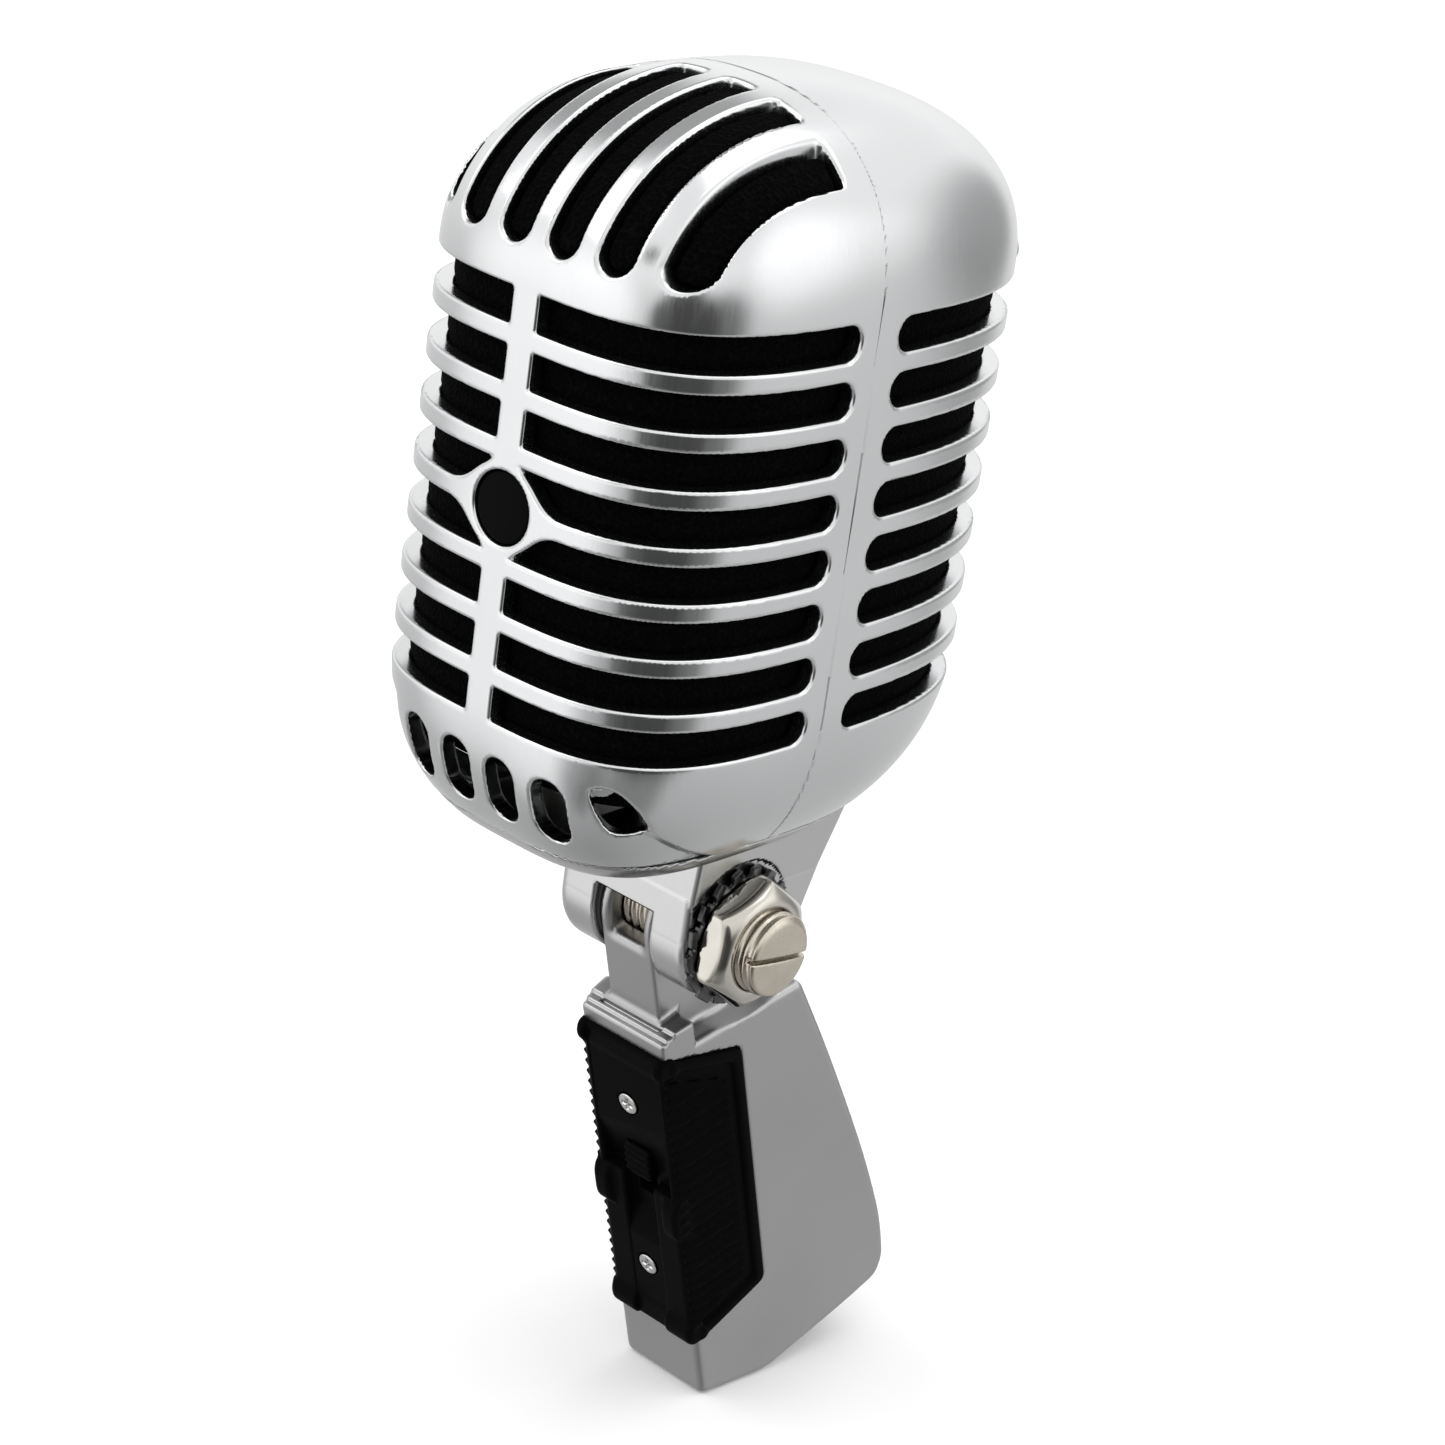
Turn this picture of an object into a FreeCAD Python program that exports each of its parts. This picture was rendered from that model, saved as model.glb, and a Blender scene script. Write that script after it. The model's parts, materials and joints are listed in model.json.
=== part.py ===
"""Vintage-style dynamic vocal microphone: slotted two-shell head on a forked swivel and a handle.

Millimetres. The origin is the mouth of the stand thread, +Z up, the front of the head faces -Y.
The head is modelled about its own middle, and the handle in a frame whose origin is the swivel's
axis, with +Z up along the handle; both are placed in the part's frame at the end.
"""
import FreeCAD, Part
import math
import os

V = FreeCAD.Vector
X, Y, Z = V(1, 0, 0), V(0, 1, 0), V(0, 0, 1)

# ---- driving dimensions --------------------------------------------------------------------
HEAD_W = 54.0            # width of the head
FRONT_D, REAR_D = 33.9, 43.0   # depth in front of and behind the seam
FRONT_N, REAR_N = 3.3, 2.75    # squareness of the two halves, seen from above
CROWN_Z, DOME_Z = 53.6, 30.0   # top of the head, where its dome starts
CHIN_Z, BASE_Z = -20.0, -41.3  # where the underside starts to curve in, where the shells end
UNDER_H = 30.7           # height of the underside's curve if it closed
SIDE_TAPER = -0.0157     # half-width gained for each mm of height
WALL = 2.6               # wall of the shells
ROWS, ROW_PITCH, SLOT_H = 8, 7.09, 4.55
ROW_TOP = 29.5           # upper edge of the first row
RIB_HALF = 2.15          # half-width of the middle rib
FRONT_END_Y, REAR_END_Y = -5.4, 6.3    # centres of the rows' rounded ends
TOP_PITCH, TOP_SLOT_W = 7.75, 4.8      # slots over the front dome, and those in the chin
TOP_SLOT_Z, TOP_SLOT_Y = 34.4, -4.8    # their lower and rear tips
CHIN_SLOT_TOP, CHIN_SLOT_LOW, CHIN_SLOT_W = -29.3, -38.2, 5.1
RING_R, BADGE_R = 5.9, 4.6             # badge ring and the badge in it
BADGE_Z = ROW_TOP - 3 * ROW_PITCH - SLOT_H - (ROW_PITCH - SLOT_H) / 2
FLARE_X, FLARE_H = 10.2, 2.2           # web that widens the bar beside the ring
FOAM_T = 2.6

HINGE = V(0, -21.0, 82.1)              # swivel axis in the part's frame
HEAD_AT = V(0, -29.2, 143.3)           # middle of the head in the part's frame
HINGE_H = HINGE - HEAD_AT              # swivel axis seen from the head's middle
RAKE = 18.0                            # the handle leans back by this angle

EAR_R, EAR_OUT, EAR_IN = 9.6, 11.9, 5.3
SPOT_R = 10.6                          # spot face round the bolt on each ear
BOLT_R, BOLT_PLAY = 5.9, 0.05
NUT_AF, NUT_T, NUT_TURN = 17.4, 4.8, 22.0
STAR_T, WASHER_T = 0.8, 0.45
BOLT_END_X, BOLT_SLOT_TURN = 20.8, -7.5

TONGUE_HALF, TONGUE_R = 4.75, 8.7
GRIP_FRONT_B, METAL_FRONT_B = -12.1, -11.5
FRONT_HALF, REAR_HALF = 7.75, 11.6     # half-width of the handle at its front and rear
REAR_B = 25.75
SHELL_T = 2.0                          # wall of the handle

THREAD_R, THREAD_L, BUSH_R = 4.76, 9.5, 5.5    # 3/8 inch stand thread and its bush
INLET_R, INLET_L, INLET_T = 7.9, 15.0, 0.7     # three-pin inlet's barrel, and its wall
PIN_SETBACK = 4.5                      # how far the inlet's pins stop short of its mouth
PARTS = {}


def keep(name, shape):
    PARTS[name] = shape


def box(x0, x1, y0, y1, z0, z1):
    return Part.makeBox(x1 - x0, y1 - y0, z1 - z0, V(x0, y0, z0))


def cyl(r, length, at, axis):
    return Part.makeCylinder(r, length, at, axis)


def prism(points, direction):
    """A closed outline of points pushed along a vector."""
    return Part.Face(Part.makePolygon(points + [points[0]])).extrude(direction)


def fuse(shapes):
    return shapes[0].multiFuse(shapes[1:]).removeSplitter()


def cut(shape, tools):
    return shape.cut(tools) if tools else shape


# ---- head ----------------------------------------------------------------------------------
def head_scale(z, power, under_power=2.24):
    """How far the dome or the underside has drawn in at height z, from 1 down to 0."""
    if z > DOME_Z:
        t, p = (z - DOME_Z) / (CROWN_Z - DOME_Z), power
    elif z < CHIN_Z:
        t, p = (CHIN_Z - z) / UNDER_H, under_power
    else:
        return 1.0
    return max(0.0, 1 - t ** p) ** (1 / p)


def section(z, z_true, front, inset):
    """Half a horizontal section of the head, drawn at z_true, as a face bounded by the seam."""
    half_w = (HEAD_W / 2 + SIDE_TAPER * z) * head_scale(z, 2.38) - inset
    depth = FRONT_D * head_scale(z, 2.1, 2.6) if front else REAR_D * head_scale(z, 2.35)
    depth -= inset
    power, side = (FRONT_N, -1) if front else (REAR_N, 1)
    half_w, depth = max(half_w, 0.6), max(depth, 0.6)
    steps = 14
    points = []
    for i in range(steps + 1):
        a = math.pi * i / steps
        c, s = math.cos(a), math.sin(a)
        x = half_w * math.copysign(abs(c) ** (2 / power), c)
        points.append(V(x, side * depth * abs(s) ** (2 / power), z_true))
    curve = Part.BSplineCurve()
    curve.interpolate(points)
    return Part.Wire([curve.toShape(), Part.makeLine(points[-1], points[0])])


def half_head(front, inset, low=BASE_Z):
    """One half of the head's body, smaller all round by inset."""
    shrink = (CROWN_Z - inset - DOME_Z) / (CROWN_Z - DOME_Z)
    levels = [low] + [z for z in (-44.5, BASE_Z) if z > low]
    levels += [-36, -30, -24, CHIN_Z, -12, 2, 16, 25, DOME_Z]
    levels += [DOME_Z + (CROWN_Z - DOME_Z) * math.sin(math.radians(a)) for a in (12, 26, 40, 53, 65, 75, 84)]
    wires = []
    for z in levels:
        z_true = DOME_Z + (z - DOME_Z) * shrink if z > DOME_Z else z
        wires.append(section(z, z_true, front, inset))
    return Part.makeLoft(wires, True, False)


def shell(front):
    return half_head(front, 0.0).cut(half_head(front, WALL))


def stadium_yz(y, z, length, height, x0, x1, side):
    """A slot along Y with one round end at y, open towards side, pushed along X."""
    r = height / 2
    body = box(x0, x1, min(y, y + side * length), max(y, y + side * length), z - r, z + r)
    return body.fuse(cyl(r, x1 - x0, V(x0, y, z), X))


def rows(front):
    """Cutters for the horizontal rows of one shell, left and right of its rib."""
    end_y, side = (FRONT_END_Y, -1) if front else (REAR_END_Y, 1)
    tools = []
    for i in range(ROWS):
        z = ROW_TOP - i * ROW_PITCH - SLOT_H / 2
        right = stadium_yz(end_y, z, 60, SLOT_H, RIB_HALF, 40, side)
        left = stadium_yz(end_y, z, 60, SLOT_H, -40, -RIB_HALF, side)
        tools += [right, left]
    return tools


def badge_web():
    """The ring round the badge and its flares, which stay solid between rows four and five."""
    ring = cyl(RING_R, 60, V(0, -60, BADGE_Z), Y)
    half_bar = (ROW_PITCH - SLOT_H) / 2
    flare = prism([V(-FLARE_X, -60, BADGE_Z), V(-RING_R * 0.8, -60, BADGE_Z + half_bar + FLARE_H),
                   V(RING_R * 0.8, -60, BADGE_Z + half_bar + FLARE_H), V(FLARE_X, -60, BADGE_Z),
                   V(RING_R * 0.8, -60, BADGE_Z - half_bar - FLARE_H),
                   V(-RING_R * 0.8, -60, BADGE_Z - half_bar - FLARE_H)], V(0, 60, 0))
    return ring.fuse(flare)


def upright_slots():
    """The six slots over the dome and the six in the chin."""
    r, chin_r = TOP_SLOT_W / 2, CHIN_SLOT_W / 2
    tools = []
    for i in range(6):
        x = (i - 2.5) * TOP_PITCH
        over = box(x - r, x + r, -50, TOP_SLOT_Y, TOP_SLOT_Z + r, 60)
        over = over.fuse(cyl(r, 50 + TOP_SLOT_Y, V(x, -50, TOP_SLOT_Z + r), Y))
        low, high = CHIN_SLOT_LOW + chin_r, CHIN_SLOT_TOP - chin_r
        chin = box(x - chin_r, x + chin_r, -50, -12, low, high)
        chin = chin.fuse([cyl(chin_r, 38, V(x, -50, z), Y) for z in (low, high)])
        tools += [over, chin]
    return tools


SCREWS = [(x, z) for z in (32.5, -27.6) for x in (-17.0, 17.0)]    # where screws join the shells
SCREW_R, SCREW_HEAD_R, BOSS_R, SEAT_R = 1.2, 2.1, 2.4, 3.0
SCREW_REACH = 12.0
LUG_X, LUG_Y, LUG_T = 13.5, -13.0, 4.0      # screws through the front shell's lugs into the bracket


def rear_seat_y(x, z):
    """Where a screw head rests in the rear shell, a little under its surface."""
    half_w = (HEAD_W / 2 + SIDE_TAPER * z) * head_scale(z, 2.38)
    surface = REAR_D * head_scale(z, 2.35) * (1 - (abs(x) / half_w) ** REAR_N) ** (1 / REAR_N)
    return surface - 3.6


def make_shells():
    front, rear = shell(True), shell(False)
    body_f, body_r = half_head(True, 0.0), half_head(False, 0.0)
    front = cut(front, [tool.cut(badge_web()) for tool in rows(True)] + upright_slots())
    rear = cut(rear, rows(False))
    inner_ends = [V(x, 0, z) for x, z in SCREWS]
    bosses_f = [cyl(BOSS_R, 40, at - Y * 40, Y).common(body_f) for at in inner_ends]
    for side in (-1, 1):
        x0, x1 = sorted((side * (LUG_X - 3.0), side * (LUG_X + 7.5)))
        bosses_f.append(box(x0, x1, LUG_Y - 9, LUG_Y + 3, BASE_Z, BASE_Z + LUG_T).common(body_f))
    bosses_r = [cyl(SEAT_R, 50, at, Y).common(body_r) for at in inner_ends]
    front = front.fuse(bosses_f)
    rear = rear.fuse(bosses_r)
    screws = []
    for x, z in SCREWS:
        seat = rear_seat_y(x, z)
        rear = rear.cut([cyl(SCREW_R + 0.2, 60, V(x, 0, z), Y), cyl(SCREW_HEAD_R + 0.2, 20, V(x, seat, z), Y)])
        front = front.cut(cyl(SCREW_R, SCREW_REACH + 0.5, V(x, -SCREW_REACH - 0.5, z), Y))
        screw = cyl(SCREW_R, seat + SCREW_REACH, V(x, -SCREW_REACH, z), Y)
        screw = screw.fuse(cyl(SCREW_HEAD_R, 1.7, V(x, seat, z), Y))
        screws.append(cross_slot(screw, V(x, seat + 1.7, z), Y, SCREW_HEAD_R))
    front = front.cut([cyl(BADGE_R, 2.0, V(0, -FRONT_D - 0.8, BADGE_Z), Y)]
                      + [cyl(1.5, LUG_T + 2, V(x, LUG_Y, BASE_Z - 1), Z) for x in (-LUG_X, LUG_X)])
    keep("front_grille", front)
    keep("rear_grille", rear)
    keep("shell_screws", Part.makeCompound(screws))
    keep("badge_disc", cyl(BADGE_R - 0.05, 1.2, V(0, -FRONT_D, BADGE_Z), Y))


def cross_slot(shape, at, axis, r):
    """Cuts a cross recess into a screw head whose top is at a point, facing along axis."""
    side = X if abs(axis.x) < 0.5 else Y
    other = axis.cross(side)
    tools = []
    for a, b in ((side, other), (other, side)):
        corners = [at + a * (r * 0.62 * i) + b * (r * 0.13 * j) - axis * (r * 0.45)
                   for i, j in ((-1, -1), (1, -1), (1, 1), (-1, 1))]
        tools.append(prism(corners, axis * r))
    return shape.cut(tools)


def make_foam():
    """Foam pressed against the inside of each shell, open at the bosses and the base."""
    for front, name in ((True, "front_foam"), (False, "rear_foam")):
        y0 = -60 if front else 0
        bosses = [cyl(BOSS_R if front else SEAT_R, 60, V(x, y0, z), Y) for x, z in SCREWS]
        foam = half_head(front, WALL).cut([half_head(front, WALL + FOAM_T)] + bosses)
        foam = foam.common(box(-40, 40, -50, 50, -32.0, 60))
        keep(name, foam)


CART_R, CART_Z = 15.0, 2.0
LEAD_R, LEAD_X, LEAD_Z = 1.2, 11.5, 0.0
PASSAGE_Y = HINGE_H.y + 1.8            # the lead's way down through the bracket
RING_OUT, FRAME_OUT = 17.4, 19.6
FRAME_SCREWS = [(-7, -5), (7, -5), (-12, 14), (12, 14)]    # they hold the frame to the bracket


def disc(r, y0, y1, z=CART_Z):
    return cyl(r, y1 - y0, V(0, y0, z), Y)


def make_cartridge():
    """The dynamic cartridge on its rubber ring, and the frame that carries it."""
    case = disc(CART_R, -12, 6).cut(disc(CART_R - 1.2, -12, 4.5))
    keep("cartridge_case", case.cut(cyl(LEAD_R + 0.1, 8, V(LEAD_X, 0, LEAD_Z), Y)))
    cap = disc(CART_R, -14.5, -12.0).cut(disc(CART_R - 1.2, -13.2, -12.0))
    holes = [cyl(1.3, 6, V(9 * math.cos(i * math.pi / 4), -17, CART_Z + 9 * math.sin(i * math.pi / 4)), Y)
             for i in range(8)]
    keep("cartridge_cap", cap.cut(holes + [cyl(1.6, 6, V(0, -17, CART_Z), Y)]))
    dome_at = V(0, 11.06, CART_Z)
    dome = Part.makeSphere(24, dome_at).cut(Part.makeSphere(23.75, dome_at)).common(disc(7.4, -13.5, -11.6))
    rim = disc(CART_R - 1.25, -11.9, -11.6).cut(disc(7.2, -13, -10))
    keep("diaphragm", rim.fuse(dome))
    keep("voice_coil", disc(7.0, -11.5, -5.0).cut(disc(6.3, -12, -3)))
    keep("magnet_pole", disc(5.8, -7.5, -4.5))
    keep("magnet", disc(5.4, -4.5, 1.5))
    keep("magnet_cup", disc(9.6, -7.5, 4.5).cut(disc(7.6, -8, 1.5)))
    keep("shock_mount", disc(RING_OUT, -7, 1).cut(disc(CART_R, -8, 2)))
    frame = disc(FRAME_OUT, -7, 1).cut(disc(RING_OUT, -8, 2))
    legs = []
    for side in (-1, 1):
        x0, x1 = sorted((side * 10.5, side * 13.0))
        legs.append(box(x0, x1, -7, 1, BASE_Z + 3.0, CART_Z - 12).cut(disc(RING_OUT, -8, 2)))
    foot = box(-16, 16, -9, 18, BASE_Z, BASE_Z + 3.0)
    frame = fuse([frame, foot] + legs)
    frame = frame.cut([cyl(3.0, 8, V(0, 10, BASE_Z - 2), Z)]
                      + [cyl(1.6, 8, V(x, y, BASE_Z - 2), Z) for x, y in FRAME_SCREWS])
    keep("cartridge_frame", frame)
    core = box(-7, 7, 8.2, 17.2, -14.0, -1.0)
    keep("transformer_core", core)
    keep("transformer_coil", box(-9.5, 9.5, 8.2, 19.2, -11.0, -4.0).cut(core))
    foot_top = BASE_Z + 3.0
    plate = box(-8, 8, 7.0, 8.2, foot_top, 2.0).fuse(box(-8, 8, 7.0, 16.0, foot_top, foot_top + 1.0))
    keep("transformer_clip", plate.cut(cyl(LEAD_R + 0.3, 6, V(0, PASSAGE_Y, foot_top - 2), Z)))


NECK_Z, FORK_Z = -43.5, -55.0          # where the bracket starts to draw in, and where it forks
NECK_TOP = (17.0, -21.5, 29.3, 3.2)    # half-width, front, rear and squareness up there
NECK_LOW = (EAR_OUT, -1.4, 25.4, 8.0)
HEEL_AT, HEEL_R = (13.4, -62.0), 8.7   # y, z and radius of the ears' rounded rear corner


def oval(half_w, front, rear, power, z):
    """A closed superellipse outline at height z."""
    middle, half_d = (front + rear) / 2, (rear - front) / 2
    points = []
    for i in range(48):
        a = 2 * math.pi * i / 48
        c, s = math.cos(a), math.sin(a)
        points.append(V(half_w * math.copysign(abs(c) ** (2 / power), c),
                        middle + half_d * math.copysign(abs(s) ** (2 / power), s), z))
    return Part.makePolygon(points + [points[0]])


def make_yoke():
    """The swivel bracket: a base that closes the shells, drawn in to two rounded ears."""
    hy, hz = HINGE_H.y, HINGE_H.z
    bowl = half_head(True, 0.0, low=-47.0).fuse(half_head(False, 0.0, low=-47.0))
    base = bowl.common(box(-40, 40, -50, 50, -50, BASE_Z))
    neck = Part.makeLoft([oval(*NECK_TOP, NECK_Z), oval(*NECK_LOW, FORK_Z)], True, True)
    ears = []
    for side in (-1, 1):
        x0, x1 = sorted((side * EAR_IN, side * EAR_OUT))
        hy2, hz2 = HEEL_AT
        plate = prism([V(x0, hy - EAR_R, hz), V(x0, hy, hz - EAR_R), V(x0, hy2, hz2 - HEEL_R),
                       V(x0, hy2 + HEEL_R * 0.94, hz2 - HEEL_R * 0.34), V(x0, NECK_LOW[2], FORK_Z + 0.5),
                       V(x0, NECK_LOW[1], FORK_Z + 0.5)], V(x1 - x0, 0, 0))
        rounds = [cyl(EAR_R, x1 - x0, V(x0, hy, hz), X), cyl(HEEL_R, x1 - x0, V(x0, hy2, hz2), X)]
        ears.append(plate.fuse(rounds))
    slot_r = TONGUE_R + 1.0
    gap = box(-EAR_IN, EAR_IN, -30, 40, hz - 20, hz).fuse(
        [cyl(slot_r, 2 * EAR_IN, V(-EAR_IN, hy, hz), X), box(-EAR_IN, EAR_IN, -30, 40, hz - 1, hz + slot_r)])
    holes = [cyl(BOLT_R, 60, V(-30, hy, hz), X), cyl(3.0, 40, V(0, PASSAGE_Y, -60), Z)]
    holes += [cyl(1.5, 9, V(x, y, BASE_Z - 8), Z) for x, y in FRAME_SCREWS]
    spot_face = cyl(SPOT_R, 20, V(EAR_OUT, hy, hz), X).fuse(cyl(SPOT_R, 20, V(-EAR_OUT - 20, hy, hz), X))
    holes += [cyl(1.3, 3.2, V(x, LUG_Y, BASE_Z - 3.1), Z) for x in (-LUG_X, LUG_X)]
    keep("swivel_yoke", fuse([base, neck] + ears).cut([gap, spot_face] + holes))
    screws = []
    for x, y in FRAME_SCREWS:
        screw = cyl(1.45, 9.0, V(x, y, BASE_Z - 6), Z).fuse(cyl(2.7, 1.8, V(x, y, BASE_Z + 3.0), Z))
        screws.append(cross_slot(screw, V(x, y, BASE_Z + 4.8), Z, 2.7))
    keep("frame_screws", Part.makeCompound(screws))
    screws = []
    for x in (-LUG_X, LUG_X):
        top = BASE_Z + LUG_T
        screw = cyl(1.3, LUG_T + 3.0, V(x, LUG_Y, BASE_Z - 3.0), Z).fuse(cyl(2.6, 1.6, V(x, LUG_Y, top), Z))
        screws.append(cross_slot(screw, V(x, LUG_Y, top + 1.6), Z, 2.6))
    keep("yoke_screws", Part.makeCompound(screws))


def make_head_leads():
    """The leads from the cartridge to the transformer, and from there down through the bracket."""
    corner, low = V(LEAD_X, 13.5, LEAD_Z), V(LEAD_X, 13.5, -7.5)
    runs = [cyl(LEAD_R, corner.y - 4.7, V(LEAD_X, 4.7, LEAD_Z), Y), Part.makeSphere(LEAD_R, corner),
            cyl(LEAD_R, corner.z - low.z, low, Z), Part.makeSphere(LEAD_R, low),
            cyl(LEAD_R, LEAD_X - 9.6, low, X * -1)]
    keep("cartridge_lead", fuse(runs))
    keep("head_lead", cyl(LEAD_R, 50.5 - 14.1, V(0, PASSAGE_Y, -50.5), Z))


# ---- swivel hardware -----------------------------------------------------------------------
def hexagon(af, thickness, at, turn):
    """A hexagon nut's body with its outer edge bevelled, turned about its axis by an angle."""
    r = af / math.sqrt(3)
    angles = [math.radians(turn + 60 * i) for i in range(6)]
    points = [at + V(0, r * math.cos(a), r * math.sin(a)) for a in angles]
    solid = prism(points, V(thickness, 0, 0))
    return solid.common(Part.makeCone(r * 1.12, r * 0.93, thickness, at, X))


def make_swivel():
    o = HINGE_H
    shaft = cyl(BOLT_R, BOLT_END_X + EAR_OUT, V(-EAR_OUT, o.y, o.z), X)
    head = cyl(7.6, 2.2, V(-EAR_OUT - 2.2, o.y, o.z), X)
    slot = box(BOLT_END_X - 1.4, BOLT_END_X + 1, o.y - 8, o.y + 8, o.z - 0.5, o.z + 0.5)
    slot.rotate(o, X, BOLT_SLOT_TURN)
    keep("pivot_bolt", shaft.fuse(head).cut(slot))
    star = cyl(NUT_AF / 2 + 0.9, STAR_T, V(EAR_OUT, o.y, o.z), X).cut(cyl(BOLT_R, 2, V(EAR_OUT - 0.5, o.y, o.z), X))
    teeth = []
    for i in range(16):
        a = 2 * math.pi * i / 16
        teeth.append(cyl(0.9, 3, V(EAR_OUT - 1, o.y + 9.9 * math.cos(a), o.z + 9.9 * math.sin(a)), X))
    keep("star_washer", star.cut(teeth))
    nut = hexagon(NUT_AF, NUT_T, V(EAR_OUT + STAR_T, o.y, o.z), NUT_TURN)
    keep("pivot_nut", nut.cut(cyl(BOLT_R, 10, V(EAR_OUT, o.y, o.z), X)))
    washers = []
    for side in (-1, 1):
        x0 = EAR_IN - WASHER_T if side > 0 else -EAR_IN
        ring = cyl(8.6, WASHER_T, V(x0, o.y, o.z), X).cut(cyl(BOLT_R, 2, V(x0 - 0.5, o.y, o.z), X))
        washers.append(ring)
    keep("friction_washers", Part.makeCompound(washers))


# ---- handle (its own frame: origin on the swivel axis, +Z up along the handle) ---------------
LIP_Z, LIP_LOW = -13.8, -17.3          # top and bottom of the lip in front of the tongue


def base_z(b):
    """Height in the handle's frame of the level bottom, at b behind the swivel's axis."""
    lean = math.radians(RAKE)
    return -(HINGE.z + b * math.sin(lean)) / math.cos(lean)


KINK, HEEL = (0.9, base_z(0.9)), (20.4, -84.2)       # ends of the rear bottom facet
SIDE = [(METAL_FRONT_B, -17.3), (METAL_FRONT_B, base_z(METAL_FRONT_B)), KINK, HEEL, (23.6, -83.4),
        (25.4, -80.6), (25.7, -74.0), (24.4, -63.1), (21.0, -46.2), (17.0, -29.4), (14.0, -18.7)]
GRIP_TOP, GRIP_LOW = -17.3, -71.6
GRIP_TOP_REAR, GRIP_LOW_REAR, GRIP_REAR_B = -23.0, -68.0, 1.9
SWITCH_Z, SWITCH_L, SWITCH_W = -42.5, 17.0, 6.4
GRIP_SCREW_Z, GRIP_SCREW_R = (-28.8, -60.0), 1.75
THUMB = [(-14.0, -31.0), (-12.1, -31.0), (-10.0, -41.5), (-10.0, -43.4), (-14.0, -43.4)]   # recess over the slider
GUARD_Z, GUARD_H = (-50.9, -43.4), 1.1     # ridges that guard the slider on both sides
FLANGE_H, FLANGE_PROUD = 3.4, 1.0          # rolls along the plate's top and bottom
INSULATOR_L = 6.5
RIB_PITCH, RIB_COUNT, RIB_GROOVE = 1.95, 22, 0.85     # ribs on the sides of the grip plate


def half_width(b):
    share = (b - METAL_FRONT_B) / (REAR_B - METAL_FRONT_B)
    return FRONT_HALF + (REAR_HALF - FRONT_HALF) * share


def taper_block(b0, b1, z0, z1, inset):
    """A block from b0 to b1 whose sides follow the handle's taper, inset from them."""
    w0, w1 = half_width(b0) - inset, half_width(b1) - inset
    return prism([V(-w0, b0, z0), V(w0, b0, z0), V(w1, b1, z0), V(-w1, b1, z0)], V(0, 0, z1 - z0))


def side_prism(points, half):
    return prism([V(-half, b, z) for b, z in points], V(2 * half, 0, 0))


def grip_outline(grow):
    return [(GRIP_FRONT_B - 1 - grow, GRIP_TOP + grow), (GRIP_FRONT_B + 0.5, GRIP_TOP + grow),
            (GRIP_REAR_B + grow, GRIP_TOP_REAR + grow), (GRIP_REAR_B + grow, GRIP_LOW_REAR - grow),
            (GRIP_FRONT_B + 0.5, GRIP_LOW - grow), (GRIP_FRONT_B - 1 - grow, GRIP_LOW - grow)]


def facet_frame():
    """Middle of the rear bottom facet, and its outward normal, in the handle's frame."""
    a, b = V(0, *KINK), V(0, *HEEL)
    along = (b - a).normalize()
    normal = X.cross(along)
    if normal.z > 0:
        normal = normal * -1
    return a + along * 12.7, normal, along


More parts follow.
